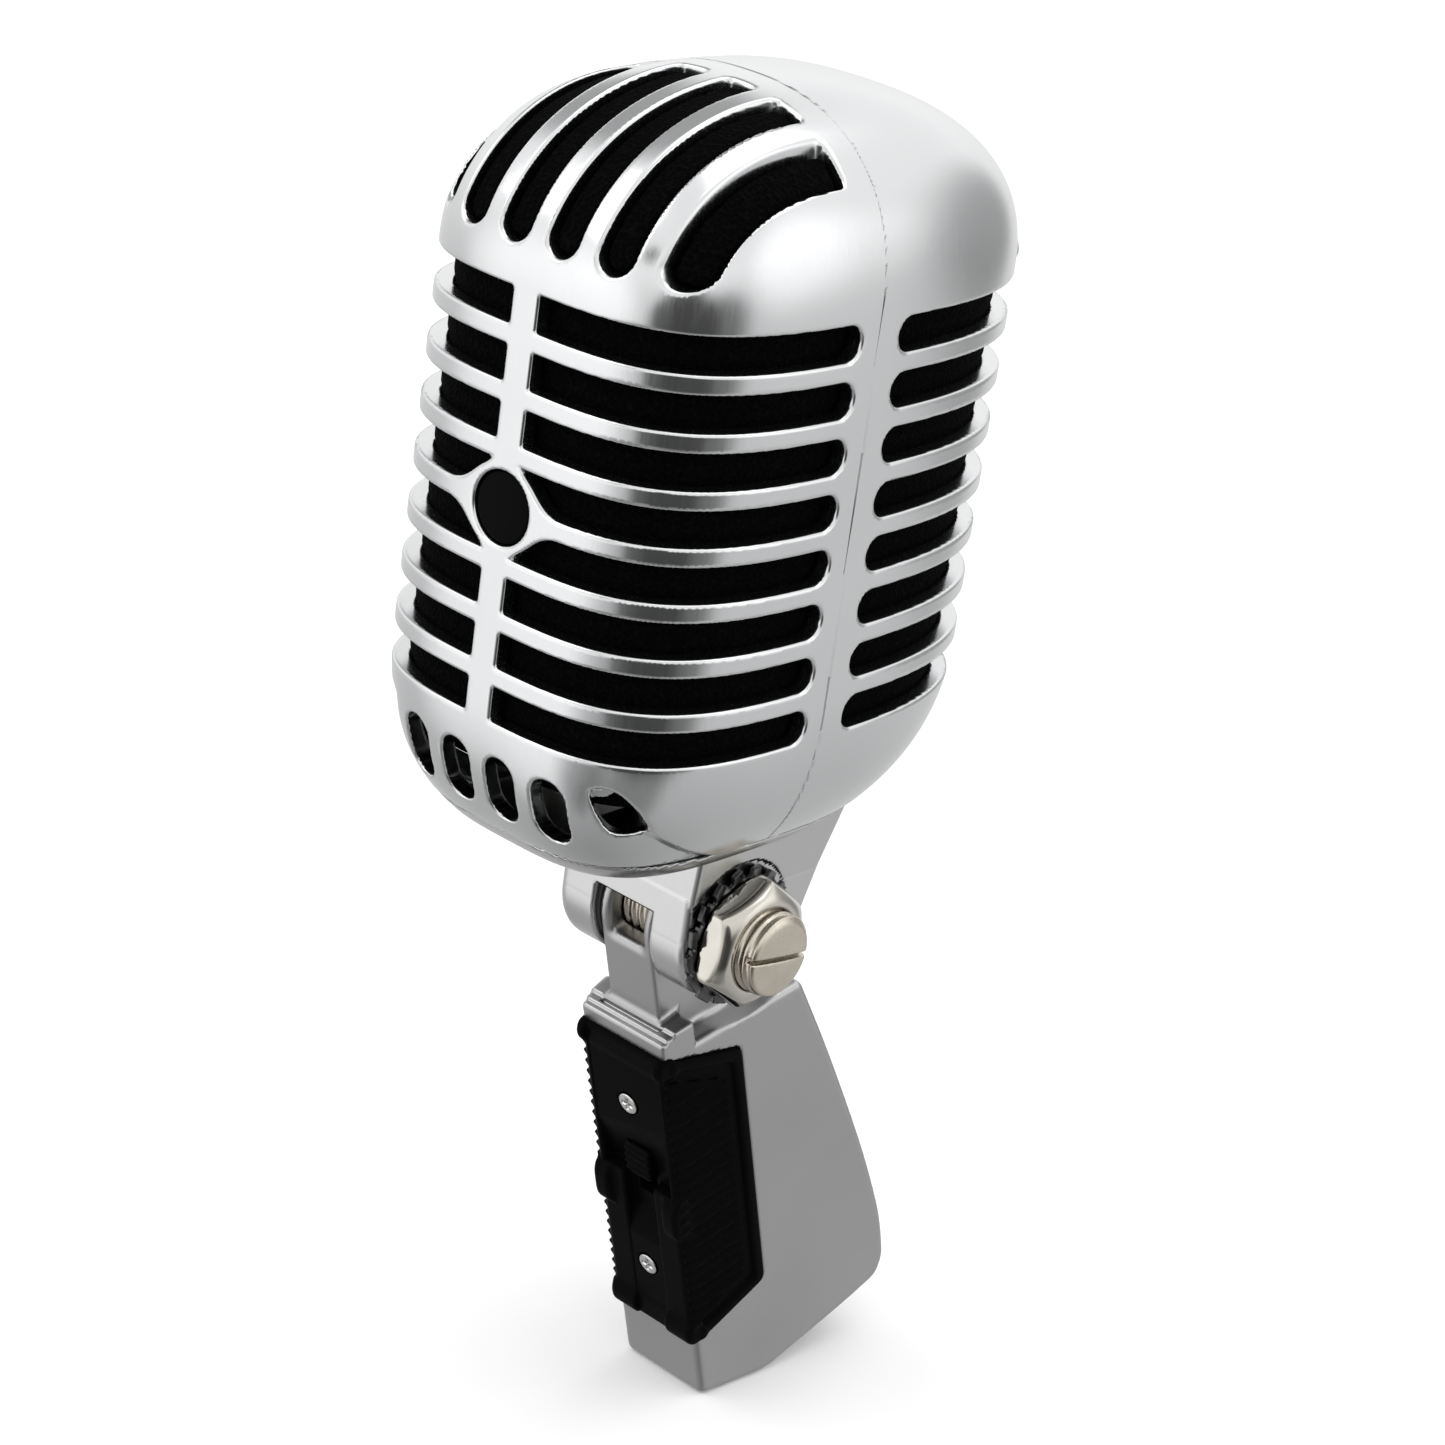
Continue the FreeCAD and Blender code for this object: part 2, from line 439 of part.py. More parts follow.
def make_handle(to_part, from_part):
    outer = side_prism(SIDE, 20).common(taper_block(-12, 27, -95, 5, 0.0))
    cradle = cyl(20.2, 60, V(-30, 5.0, 1.4), X)
    outer = outer.cut(cradle)
    tongue = cyl(TONGUE_R, 2 * TONGUE_HALF, V(-TONGUE_HALF, 0, 0), X)
    tongue = tongue.fuse(box(-TONGUE_HALF, TONGUE_HALF, -TONGUE_R, 8.4, -24, 0))
    lip = taper_block(METAL_FRONT_B + 0.6, -5.5, LIP_LOW - 3, LIP_Z, 0.0)
    body = fuse([outer, tongue, lip])
    cavity = taper_block(-7.6, 22.0, -64.0, -24.0, SHELL_T + 1.2)
    cavity = cavity.common(side_prism([(-7.6, -64.0), (20.5, -64.0), (19.0, -46), (12.5, -24.0), (-7.6, -24.0)], 20))
    recess = side_prism(grip_outline(0.0), 20).cut(taper_block(-9.4, 30, -95, 5, 1.3))
    bolt_hole = cyl(BOLT_R + BOLT_PLAY, 40, V(-20, 0, 0), X)
    window = box(-2.7, 2.7, -15, 6.0, -1.5, 5.0)
    wire_way = box(-2.0, 2.0, 3.0, 7.0, -26, 0)
    switch_hole = box(-SWITCH_W / 2 - 0.1, SWITCH_W / 2 + 0.1, -14, -7, SWITCH_Z - SWITCH_L / 2 - 0.1,
                      SWITCH_Z + SWITCH_L / 2 + 0.1)
    screw_holes = [cyl(1.25, 8, V(0, -15, z), Y) for z in GRIP_SCREW_Z]
    at, normal, along = facet_frame()
    depth = INLET_L + INSULATOR_L
    barrel_hole = cyl(INLET_R + INLET_T, depth + 2.0, at - normal * depth, normal)
    bush_hole = moved(cyl(BUSH_R, THREAD_L + 1.5, V(0, 0, -0.5), Z), from_part)
    side_hole = cyl(1.1, 10, at - normal * 9 + X * 5, X)
    body = body.cut([cavity, recess, bolt_hole, window, wire_way, switch_hole, barrel_hole,
                     bush_hole, side_hole] + screw_holes)
    keep("handle_casting", moved(body, to_part))

    grip = side_prism(grip_outline(0.0), 20).common(taper_block(GRIP_FRONT_B, GRIP_REAR_B, -95, 5, -0.5))
    front = GRIP_FRONT_B
    half = half_width(front)
    for z in (GRIP_TOP - FLANGE_H, GRIP_LOW):
        grip = grip.fuse(box(-half, half, front - FLANGE_PROUD, front + 0.5, z, z + FLANGE_H))
    for side in (-1, 1):
        x0, x1 = sorted((side * (half - 2.4), side * half))
        grip = grip.fuse(box(x0, x1, front - GUARD_H, front + 1.5, *GUARD_Z))
    grip = grip.cut([taper_block(-9.4, 30, -95, 5, 1.3), side_prism(THUMB, 6.4),
                     box(-3.6, 3.6, -14, -5, SWITCH_Z - 9.0, SWITCH_Z + 9.0)])
    grooves = []
    for side in (-1, 1):
        x0, x1 = sorted((side * (half_width(-10) + 0.15), side * (half_width(2) + 4)))
        for i in range(RIB_COUNT):
            z = GRIP_TOP - 5.3 - i * RIB_PITCH
            grooves.append(box(x0, x1, -14, -0.5, z - RIB_GROOVE / 2, z + RIB_GROOVE / 2))
    for z in GRIP_SCREW_Z:
        grooves.append(cyl(1.4, 10, V(0, -15, z), Y))
        grooves.append(Part.makeCone(GRIP_SCREW_R + 0.1, 1.4, 1.6, V(0, GRIP_FRONT_B, z), Y))
    keep("grip_plate", moved(grip.cut(grooves), to_part))

    screws = []
    for z in GRIP_SCREW_Z:
        screw = Part.makeCone(GRIP_SCREW_R, 1.2, 1.5, V(0, GRIP_FRONT_B + 0.05, z), Y)
        screw = screw.fuse(cyl(1.2, 6.4, V(0, GRIP_FRONT_B + 1.3, z), Y))
        screws.append(moved(cross_slot(screw, V(0, GRIP_FRONT_B + 0.05, z), Y * -1, GRIP_SCREW_R), to_part))
    keep("grip_screws", Part.makeCompound(screws))

    make_switch(to_part)
    make_inlet(to_part, at, normal, along)
    bush = cyl(BUSH_R, THREAD_L, V(0, 0, 0), Z).cut(cyl(THREAD_R, THREAD_L + 1, V(0, 0, -0.5), Z))
    keep("stand_bush", bush)
    keep("handle_lead", moved(cyl(LEAD_R, 54.0, V(0, 5.0, -63.0), Z), to_part))


def make_switch(to_part):
    z0, z1 = SWITCH_Z - SWITCH_L / 2, SWITCH_Z + SWITCH_L / 2
    case = box(-SWITCH_W / 2, SWITCH_W / 2, -9.3, -2.5, z0, z1)
    guide = box(-1.7, 1.7, -9.8, -5.5, SWITCH_Z - 5.0, SWITCH_Z + 5.0)
    keep("switch_body", moved(case.cut(guide), to_part))
    plate = box(-SWITCH_W / 2, SWITCH_W / 2, -2.5, -1.9, z0, z1)
    tags = [box(-0.4, 0.4, -1.9, 1.0, SWITCH_Z + dz - 0.8, SWITCH_Z + dz + 0.8) for dz in (-5, 0, 5)]
    keep("switch_tags", moved(fuse([plate] + tags), to_part))
    top = SWITCH_Z + 4.7
    stem = box(-1.35, 1.35, -10.4, -6.2, top - 4.9, top)
    knob = box(-2.9, 2.9, -12.0, -10.05, top - 5.6, top + 0.7)
    keep("switch_slider", moved(stem.fuse(knob), to_part))


def make_inlet(to_part, at, normal, along):
    depth = INLET_L + INSULATOR_L
    set_screw_hole = cyl(1.1, 10, at - normal * 9 + X * 5, X)
    barrel = cyl(INLET_R + INLET_T, depth, at - normal * depth, normal)
    barrel = barrel.cut([cyl(INLET_R, depth + 2, at - normal * (depth + 1), normal), set_screw_hole])
    keep("inlet_shell", moved(barrel, to_part))
    inside = at - normal * depth
    block = cyl(INLET_R, INSULATOR_L, inside, normal)
    pins, holes = [], []
    for i in range(3):
        angle = math.radians(90 + 90 * i)
        base = inside + X * (3.2 * math.cos(angle)) + along * (3.2 * math.sin(angle))
        pins.append(moved(cyl(1.2, depth - PIN_SETBACK, base, normal), to_part))
        holes.append(cyl(1.2, 30, base - normal, normal))
    keep("inlet_insulator", moved(block.cut(holes), to_part))
    keep("inlet_pins", Part.makeCompound(pins))
    screw = cyl(1.05, 1.6, at - normal * 9 + X * 8.2, X)
    keep("inlet_screw", moved(screw, to_part))


def moved(shape, placement):
    shape = shape.copy()
    shape.Placement = placement.multiply(shape.Placement)
    return shape


def main():
    make_shells()
    make_foam()
    make_cartridge()
    make_yoke()
    make_head_leads()
    make_swivel()
    to_head = FreeCAD.Placement(HEAD_AT, FreeCAD.Rotation())
    head_parts = {name: moved(shape, to_head) for name, shape in PARTS.items()}
    PARTS.clear()
    to_part = FreeCAD.Placement(HINGE, FreeCAD.Rotation(X, RAKE))
    make_handle(to_part, to_part.inverse())
    PARTS.update(head_parts)
    os.makedirs("parts", exist_ok=True)
    for name, shape in PARTS.items():
        if not shape.isValid() or len(shape.Solids) == 0:
            print("check", name, shape.isValid(), len(shape.Solids))
        shape.exportStep("parts/" + name + ".step")
        print(name, len(shape.Solids), round(shape.Volume, 1))


main()
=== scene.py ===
"""Looks of the vintage-style dynamic microphone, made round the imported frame.

The castings are meshed from distance fields: a function says how far a point is from the
casting's surface, in millimetres, and mesh_field() turns that into a mesh with rounded edges.
"""
import json
import math

import bpy
import numpy as np
from mathutils import Matrix, Vector


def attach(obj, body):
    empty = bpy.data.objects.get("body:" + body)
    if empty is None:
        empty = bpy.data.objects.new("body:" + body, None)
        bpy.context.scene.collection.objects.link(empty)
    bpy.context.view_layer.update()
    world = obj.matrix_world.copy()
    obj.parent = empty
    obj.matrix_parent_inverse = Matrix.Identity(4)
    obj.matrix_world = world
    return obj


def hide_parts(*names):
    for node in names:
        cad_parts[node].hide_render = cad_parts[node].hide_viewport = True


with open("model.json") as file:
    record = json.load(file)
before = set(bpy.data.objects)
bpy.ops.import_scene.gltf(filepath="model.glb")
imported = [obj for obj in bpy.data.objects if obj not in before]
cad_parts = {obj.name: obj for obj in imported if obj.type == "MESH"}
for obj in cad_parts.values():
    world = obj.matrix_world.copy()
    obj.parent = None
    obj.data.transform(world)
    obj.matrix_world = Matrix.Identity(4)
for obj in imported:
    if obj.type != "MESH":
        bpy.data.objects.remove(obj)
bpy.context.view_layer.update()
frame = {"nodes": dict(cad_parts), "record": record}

# ---- driving dimensions, millimetres -------------------------------------------------------
HEAD_W = 54.0
FRONT_D, REAR_D = 33.9, 43.0
FRONT_N, REAR_N = 3.3, 2.75
CROWN_Z, DOME_Z = 53.6, 30.0
CHIN_Z, BASE_Z = -20.0, -41.3
UNDER_H = 30.7
SIDE_TAPER = -0.0157
WALL = 2.6
SEAM_HALF = 0.03
ROWS, ROW_PITCH, SLOT_H = 8, 7.09, 4.55
ROW_TOP = 29.5
RIB_HALF = 2.15
FRONT_END_Y, REAR_END_Y = -5.4, 6.3
TOP_PITCH, TOP_SLOT_W = 7.75, 4.8
TOP_SLOT_Z, TOP_SLOT_Y = 34.4, -4.8
CHIN_SLOT_TOP, CHIN_SLOT_LOW, CHIN_SLOT_W = -29.3, -38.2, 5.1
LEAF_LEAN = 0.8                         # the outermost chin slots lean inwards as they go in
# x and z of the outermost chin slots, which are shaped like a leaf
LEAF = [(17.1, -28.7), (19.5, -27.9), (21.6, -29.9), (22.2, -34.3), (19.0, -35.3), (17.6, -32.0)]
LUG_X, LUG_Y, LUG_T = 13.5, -13.0, 4.0  # inside lugs that the yoke's screws go through
DOME_POWER, DOME_FLAT_FRONT, DOME_FLAT_REAR = 2.38, 0.28, 0.03
UNDER_POWER, UNDER_FULL_FRONT = 2.24, 0.36
RING_R, BADGE_R = 5.9, 4.6
BADGE_Z = ROW_TOP - 3 * ROW_PITCH - SLOT_H - (ROW_PITCH - SLOT_H) / 2
FOAM_T = 2.6
CHEEK = (8.7, 12.8, 56.9)               # arc of the cheek's lower edge: y, z, radius
CHEEK_STEP = 0.9                        # how far the chin's corner lies under the cheek
SCREWS = [(x, z) for z in (32.5, -27.6) for x in (-17.0, 17.0)]
BOSS_R, SEAT_R, SEAT_UNDER, SCREW_HEAD_R = 2.4, 3.0, 3.6, 2.1

HINGE = np.array([0.0, -21.0, 82.1])
HEAD_AT = np.array([0.0, -29.2, 143.3])
HINGE_Y, HINGE_Z = 8.2, -61.2           # the swivel's axis seen from the head's middle
RAKE = math.radians(18.0)

EAR_R, EAR_OUT, EAR_IN = 9.6, 11.9, 5.3
SPOT_R, SPOT_DEEP = 10.6, 0.2
NECK_Z, FORK_Z = -43.5, -55.0
YOKE_FRONT_Y = -1.2                     # flat front of the fork, above the ears
YOKE_REAR = (28.6, -46.8, 0.38)         # a point of its sloping rear, y and z, and the slope
HEEL_ROUND = (13.4, -62.0, 8.7)         # rounded rear corner of the ears: y, z, radius
# bosses under the bracket's base, on both sides: x, y, radius, lower end
YOKE_BOSSES = [(7.0, -5.0, 2.4, -47.8), (12.0, 14.0, 1.9, -47.7), (13.5, -13.0, 2.2, -45.2)]
EAR_PLATE = [(HINGE_Y - EAR_R, HINGE_Z), (-1.4, FORK_Z + 1), (25.8, FORK_Z + 1), (21.53, -65.1),
             (13.4, -70.7), (HINGE_Y, HINGE_Z - EAR_R)]
BOLT_R, BOLT_END_X = 5.9, 20.8
BOLT_SLOT_TURN = math.radians(-7.5)
NUT_AF, NUT_T, NUT_TURN = 16.6, 4.5, 22.0
STAR_T = 1.3

TONGUE_HALF, TONGUE_R = 4.75, 8.7
GRIP_FRONT_B, METAL_FRONT_B, REAR_B = -12.1, -11.5, 25.75
FRONT_HALF, REAR_HALF = 7.75, 11.6
LIP_LOW, LIP_Z = -17.3, -13.8
GRIP_TOP, GRIP_LOW = -17.3, -71.6
GRIP_TOP_REAR, GRIP_LOW_REAR, GRIP_REAR_B = -23.0, -68.0, 1.9
RIB_STEP = 1.95
SWITCH_Z = -42.5
SHELL_T, CAVITY_B, CAVITY_Z = 3.2, -7.6, (-64.0, -24.0)
SADDLE = (5.0, 1.4, 20.2)               # hollow under the swivel: back, up, radius
PLATE_WALL, PLATE_BACK_B = 1.3, -9.4    # the grip plate's sides, and the back of its face
THUMB_DEEP = 2.05
INLET_HOLE_R, INLET_DEEP = 8.62, 23.5
BUSH_HOLE_R, BUSH_DEEP = 5.52, 11.0
GRIP_SCREW_Z, GRIP_SCREW_R = (-28.8, -60.0), 1.75
GUARD_Z = (-50.9, -43.4)               # ridges beside the slider

COARSE = 1.0


# ---- distance fields: small tools -----------------------------------------------------------
def smooth_max(a, b, k):
    h = np.maximum(k - np.abs(a - b), 0.0) / k
    return np.maximum(a, b) + h * h * k / 4


def smooth_min(a, b, k):
    return -smooth_max(-a, -b, k)


def smooth_step(t):
    t = np.clip(t, 0.0, 1.0)
    return t * t * (3 - 2 * t)


def gradient(field, p, step=0.02):
    out = np.empty_like(p)
    for axis in range(3):
        shift = np.zeros(3)
        shift[axis] = step
        out[:, axis] = (field(p + shift) - field(p - shift)) / (2 * step)
    return out


def convex_outline(u, v, points, k):
    """Distance to a convex outline whose points run clockwise, seen with u right and v up."""
    out = None
    for (u0, v0), (u1, v1) in zip(points, points[1:] + points[:1]):
        length = math.hypot(u1 - u0, v1 - v0)
        nu, nv = -(v1 - v0) / length, (u1 - u0) / length
        side = (u - u0) * nu + (v - v0) * nv
        out = side if out is None else smooth_max(out, side, k)
    return out


def in_chunks(field, p, size=300000):
    return np.concatenate([field(p[i:i + size]) for i in range(0, len(p), size)])


def sample_grid(field, axes):
    """Field values on a grid. Blocks far from the surface get their middle's value only."""
    block = 6
    shape = [len(a) for a in axes]
    counts = [-(-n // block) for n in shape]
    cell = axes[0][1] - axes[0][0]
    middles = [a[0] + (np.arange(n) * block + (block - 1) / 2) * cell for a, n in zip(axes, counts)]
    centres = np.stack(np.meshgrid(*middles, indexing="ij"), -1).reshape(-1, 3)
    rough = in_chunks(field, centres).reshape(counts)
    near = np.abs(rough) < cell * block * 1.6
    values = rough
    for axis in range(3):
        values = np.repeat(values, block, axis=axis)
        near = np.repeat(near, block, axis=axis)
    values = values[:shape[0], :shape[1], :shape[2]].copy()
    near = near[:shape[0], :shape[1], :shape[2]]
    i, j, k = np.nonzero(near)
    points = np.stack([axes[0][i], axes[1][j], axes[2][k]], -1)
    values[i, j, k] = in_chunks(field, points)
    return values


def surface_nets(field, low, high, cell):
    """Vertices and four-sided faces of the surface where the field is zero."""
    axes = [lo + cell * np.arange(int((hi - lo) / cell) + 2) for lo, hi in zip(low, high)]
    values = sample_grid(field, axes)
    inside = values < 0
    cells = np.array(values.shape) - 1
    cell_ids, corner_sets, flips = [], [], []
    for axis in range(3):
        a = np.take(values, range(values.shape[axis] - 1), axis=axis)
        b = np.take(values, range(1, values.shape[axis]), axis=axis)
        start = np.take(inside, range(values.shape[axis] - 1), axis=axis)
        end = np.take(inside, range(1, values.shape[axis]), axis=axis)
        others = [o for o in range(3) if o != axis]
        crossed = start != end
        for o in others:
            edge = [slice(None)] * 3
            edge[o] = 0
            crossed[tuple(edge)] = False
            edge[o] = -1
            crossed[tuple(edge)] = False
        where = np.stack(np.nonzero(crossed), -1)
        va, vb = a[tuple(where.T)], b[tuple(where.T)]
        spots = where.astype(float)
        spots[:, axis] += va / (va - vb)
        ring = []
        for du, dv in ((1, 1), (0, 1), (0, 0), (1, 0)):
            corner = where.copy()
            corner[:, others[0]] -= du
            corner[:, others[1]] -= dv
            ring.append(np.ravel_multi_index(corner.T, cells))
        ring = np.stack(ring, -1)
        cell_ids.append(ring)
        corner_sets.append(np.repeat(spots[:, None, :], 4, axis=1))
        flips.append(start[tuple(where.T)] ^ (axis == 1))
    rings = np.concatenate(cell_ids)
    spots = np.concatenate(corner_sets).reshape(-1, 3)
    flip = np.concatenate(flips)
    used, index = np.unique(rings.ravel(), return_inverse=True)
    count = np.bincount(index)
    vertices = np.stack([np.bincount(index, weights=spots[:, c]) / count for c in range(3)], -1)
    faces = index.reshape(-1, 4)
    faces = np.where(flip[:, None], faces, faces[:, ::-1])
    return vertices * cell + np.array([a[0] for a in axes]), faces


def settle(field, p, cell, steps=4):
    """Moves points onto the surface, each by less than a cell at a time."""
    for _ in range(steps):
        g = gradient(field, p)
        size = np.maximum((g * g).sum(1), 0.05)
        move = -(field(p) / size)[:, None] * g
        length = np.linalg.norm(move, axis=1, keepdims=True)
        p = p + move * np.minimum(1.0, 0.5 * cell / np.maximum(length, 1e-9))
    return p


def head_place(p):
    return (p + HEAD_AT) / 1000


def handle_place(p):
    """From the handle's frame, which leans back by the rake, to the part's, in metres."""
    c, s = math.cos(RAKE), math.sin(RAKE)
    y = p[:, 1] * c - p[:, 2] * s
    z = p[:, 1] * s + p[:, 2] * c
    return (np.stack([p[:, 0], y, z], -1) + HINGE) / 1000


def swivel_place(p):
    return (p + HINGE) / 1000


def turn_only(place, v):
    return place(v) - place(np.zeros((1, 3)))


def mesh_from_arrays(name, vertices, faces):
    mesh = bpy.data.meshes.new(name)
    sides = faces.shape[1]
    mesh.vertices.add(len(vertices))
    mesh.vertices.foreach_set("co", vertices.astype(np.float32).ravel())
    mesh.loops.add(faces.size)
    mesh.loops.foreach_set("vertex_index", faces.astype(np.int32).ravel())
    mesh.polygons.add(len(faces))
    mesh.polygons.foreach_set("loop_start", np.arange(0, faces.size, sides, dtype=np.int32))
    mesh.update(calc_edges=True)
    mesh.validate()
    return mesh


def add_object(name, mesh, body, nodes, material):
    obj = bpy.data.objects.new(name, mesh)
    bpy.context.scene.collection.objects.link(obj)
    mesh.materials.append(material)
    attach(obj, body)
    if nodes:
        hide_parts(*nodes)
    return obj


def mesh_field(name, field, low, high, cell, place, body, nodes, material, faces_kept=None,
               normal_field=None):
    """A rounded casting: meshes the field, thins the mesh, and gives it the field's normals."""
    cell *= COARSE
    vertices, faces = surface_nets(field, low, high, cell)
    vertices = settle(field, vertices, cell)
    mesh = mesh_from_arrays(name, vertices, faces)
    triangles = 2 * len(faces)
    if faces_kept and triangles > faces_kept:
        rough = bpy.data.objects.new(name + "_rough", mesh)
        bpy.context.scene.collection.objects.link(rough)
        thin = rough.modifiers.new("thin", "DECIMATE")
        thin.ratio = faces_kept / triangles
        deps = bpy.context.evaluated_depsgraph_get()
        mesh = bpy.data.meshes.new_from_object(rough.evaluated_get(deps))
        mesh.name = name
        bpy.data.objects.remove(rough)
        vertices = np.empty(len(mesh.vertices) * 3, dtype=np.float32)
        mesh.vertices.foreach_get("co", vertices)
        vertices = settle(field, vertices.reshape(-1, 3).astype(float), cell, steps=2)
    normals = turn_only(place, gradient(normal_field or field, vertices))
    normals /= np.maximum(np.linalg.norm(normals, axis=1, keepdims=True), 1e-12)
    mesh.vertices.foreach_set("co", place(vertices).astype(np.float32).ravel())
    mesh.update()
    mesh.polygons.foreach_set("use_smooth", np.ones(len(mesh.polygons), dtype=bool))
    mesh.normals_split_custom_set_from_vertices(normals.tolist())
    print("made", name, len(mesh.vertices), "points")
    return add_object(name, mesh, body, nodes, material)


# ---- materials ------------------------------------------------------------------------------
def new_material(name):
    mat = bpy.data.materials.new(name)
    mat.use_nodes = True
    return mat, mat.node_tree.nodes, mat.node_tree.links, mat.node_tree.nodes["Principled BSDF"]


def noise(nodes, links, scale, stretch=(1, 1, 1), detail=3.0):
    """Noise in the piece's own coordinates; scale is in cells to the metre."""
    coords = nodes.new("ShaderNodeTexCoord")
    mapping = nodes.new("ShaderNodeMapping")
    mapping.inputs["Scale"].default_value = stretch
    texture = nodes.new("ShaderNodeTexNoise")
    texture.inputs["Scale"].default_value = scale
    texture.inputs["Detail"].default_value = detail
    links.new(coords.outputs["Object"], mapping.inputs["Vector"])
    links.new(mapping.outputs["Vector"], texture.inputs["Vector"])
    return texture.outputs["Fac"]


def remap(nodes, links, value, low, high):
    ramp = nodes.new("ShaderNodeMapRange")
    ramp.inputs["From Min"].default_value = 0.3
    ramp.inputs["From Max"].default_value = 0.7
    ramp.inputs["To Min"].default_value = low
    ramp.inputs["To Max"].default_value = high
    links.new(value, ramp.inputs["Value"])
    return ramp.outputs["Result"]


def tint(nodes, links, value, dark, light):
    mix = nodes.new("ShaderNodeMix")
    mix.data_type = "RGBA"
    mix.inputs[6].default_value = (*dark, 1)
    mix.inputs[7].default_value = (*light, 1)
    links.new(value, mix.inputs["Factor"])
    return mix.outputs[2]


def bump(nodes, links, bsdf, height, distance, strength=1.0):
    node = nodes.new("ShaderNodeBump")
    node.inputs["Distance"].default_value = distance
    node.inputs["Strength"].default_value = strength
    links.new(height, node.inputs["Height"])
    links.new(node.outputs["Normal"], bsdf.inputs["Normal"])


def metal(name, dark, light, rough, grain, stretch=(1, 1, 1), depth=0.00001, cloud=60):
    """Metal whose grain changes its roughness and its relief; larger clouds change its colour."""
    mat, nodes, links, bsdf = new_material(name)
    bsdf.inputs["Metallic"].default_value = 1.0
    fine = noise(nodes, links, grain, stretch, 4.0)
    broad = noise(nodes, links, cloud, (1, 1, 1), 4.0)
    links.new(tint(nodes, links, broad, dark, light), bsdf.inputs["Base Color"])
    links.new(remap(nodes, links, fine, *rough), bsdf.inputs["Roughness"])
    bump(nodes, links, bsdf, fine, depth, 0.4)
    return mat


def plastic(name, dark, light, rough, grain, depth=0.00002, specular=0.5, coat=0.0):
    mat, nodes, links, bsdf = new_material(name)
    fine = noise(nodes, links, grain, (1, 1, 1), 3.0)
    broad = noise(nodes, links, 90, (1, 1, 1), 3.0)
    links.new(tint(nodes, links, broad, dark, light), bsdf.inputs["Base Color"])
    links.new(remap(nodes, links, fine, *rough), bsdf.inputs["Roughness"])
    bsdf.inputs["Specular IOR Level"].default_value = specular
    bsdf.inputs["Coat Weight"].default_value = coat
    bump(nodes, links, bsdf, fine, depth, 0.5)
    return mat


def foam_material():
    """Black open-cell foam: round pores with thin walls."""
    mat, nodes, links, bsdf = new_material("foam")
    coords = nodes.new("ShaderNodeTexCoord")
    pores = nodes.new("ShaderNodeTexVoronoi")
    pores.inputs["Scale"].default_value = 1900
    links.new(coords.outputs["Object"], pores.inputs["Vector"])
    height = nodes.new("ShaderNodeMath")
    height.operation = "POWER"
    height.inputs[1].default_value = 2.0
    links.new(pores.outputs["Distance"], height.inputs[0])
    # the pores' middles are painted darker than the walls between them: painted shade in the hollows
    links.new(tint(nodes, links, height.outputs[0], (0.0004, 0.0004, 0.0005), (0.003, 0.003, 0.0032)),
              bsdf.inputs["Base Color"])
    bsdf.inputs["Roughness"].default_value = 0.95
    bsdf.inputs["Specular IOR Level"].default_value = 0.03
    bump(nodes, links, bsdf, height.outputs[0], 0.0004, 1.0)
    return mat


def coil_material():
    """Enamelled copper wire, wound in fine turns."""
    mat, nodes, links, bsdf = new_material("copper_winding")
    coords = nodes.new("ShaderNodeTexCoord")
    wave = nodes.new("ShaderNodeTexWave")
    wave.inputs["Scale"].default_value = 900
    wave.inputs["Distortion"].default_value = 0.4
    wave.bands_direction = "Z"
    links.new(coords.outputs["Object"], wave.inputs["Vector"])
    # the grooves between the turns are painted dark and the turns' crowns light: painted shade and painted
    # highlight
    links.new(tint(nodes, links, wave.outputs["Fac"], (0.18, 0.05, 0.02), (0.62, 0.25, 0.1)),
              bsdf.inputs["Base Color"])
    bsdf.inputs["Metallic"].default_value = 0.8
    bsdf.inputs["Roughness"].default_value = 0.32
    bump(nodes, links, bsdf, wave.outputs["Fac"], 0.00008, 0.8)
    return mat


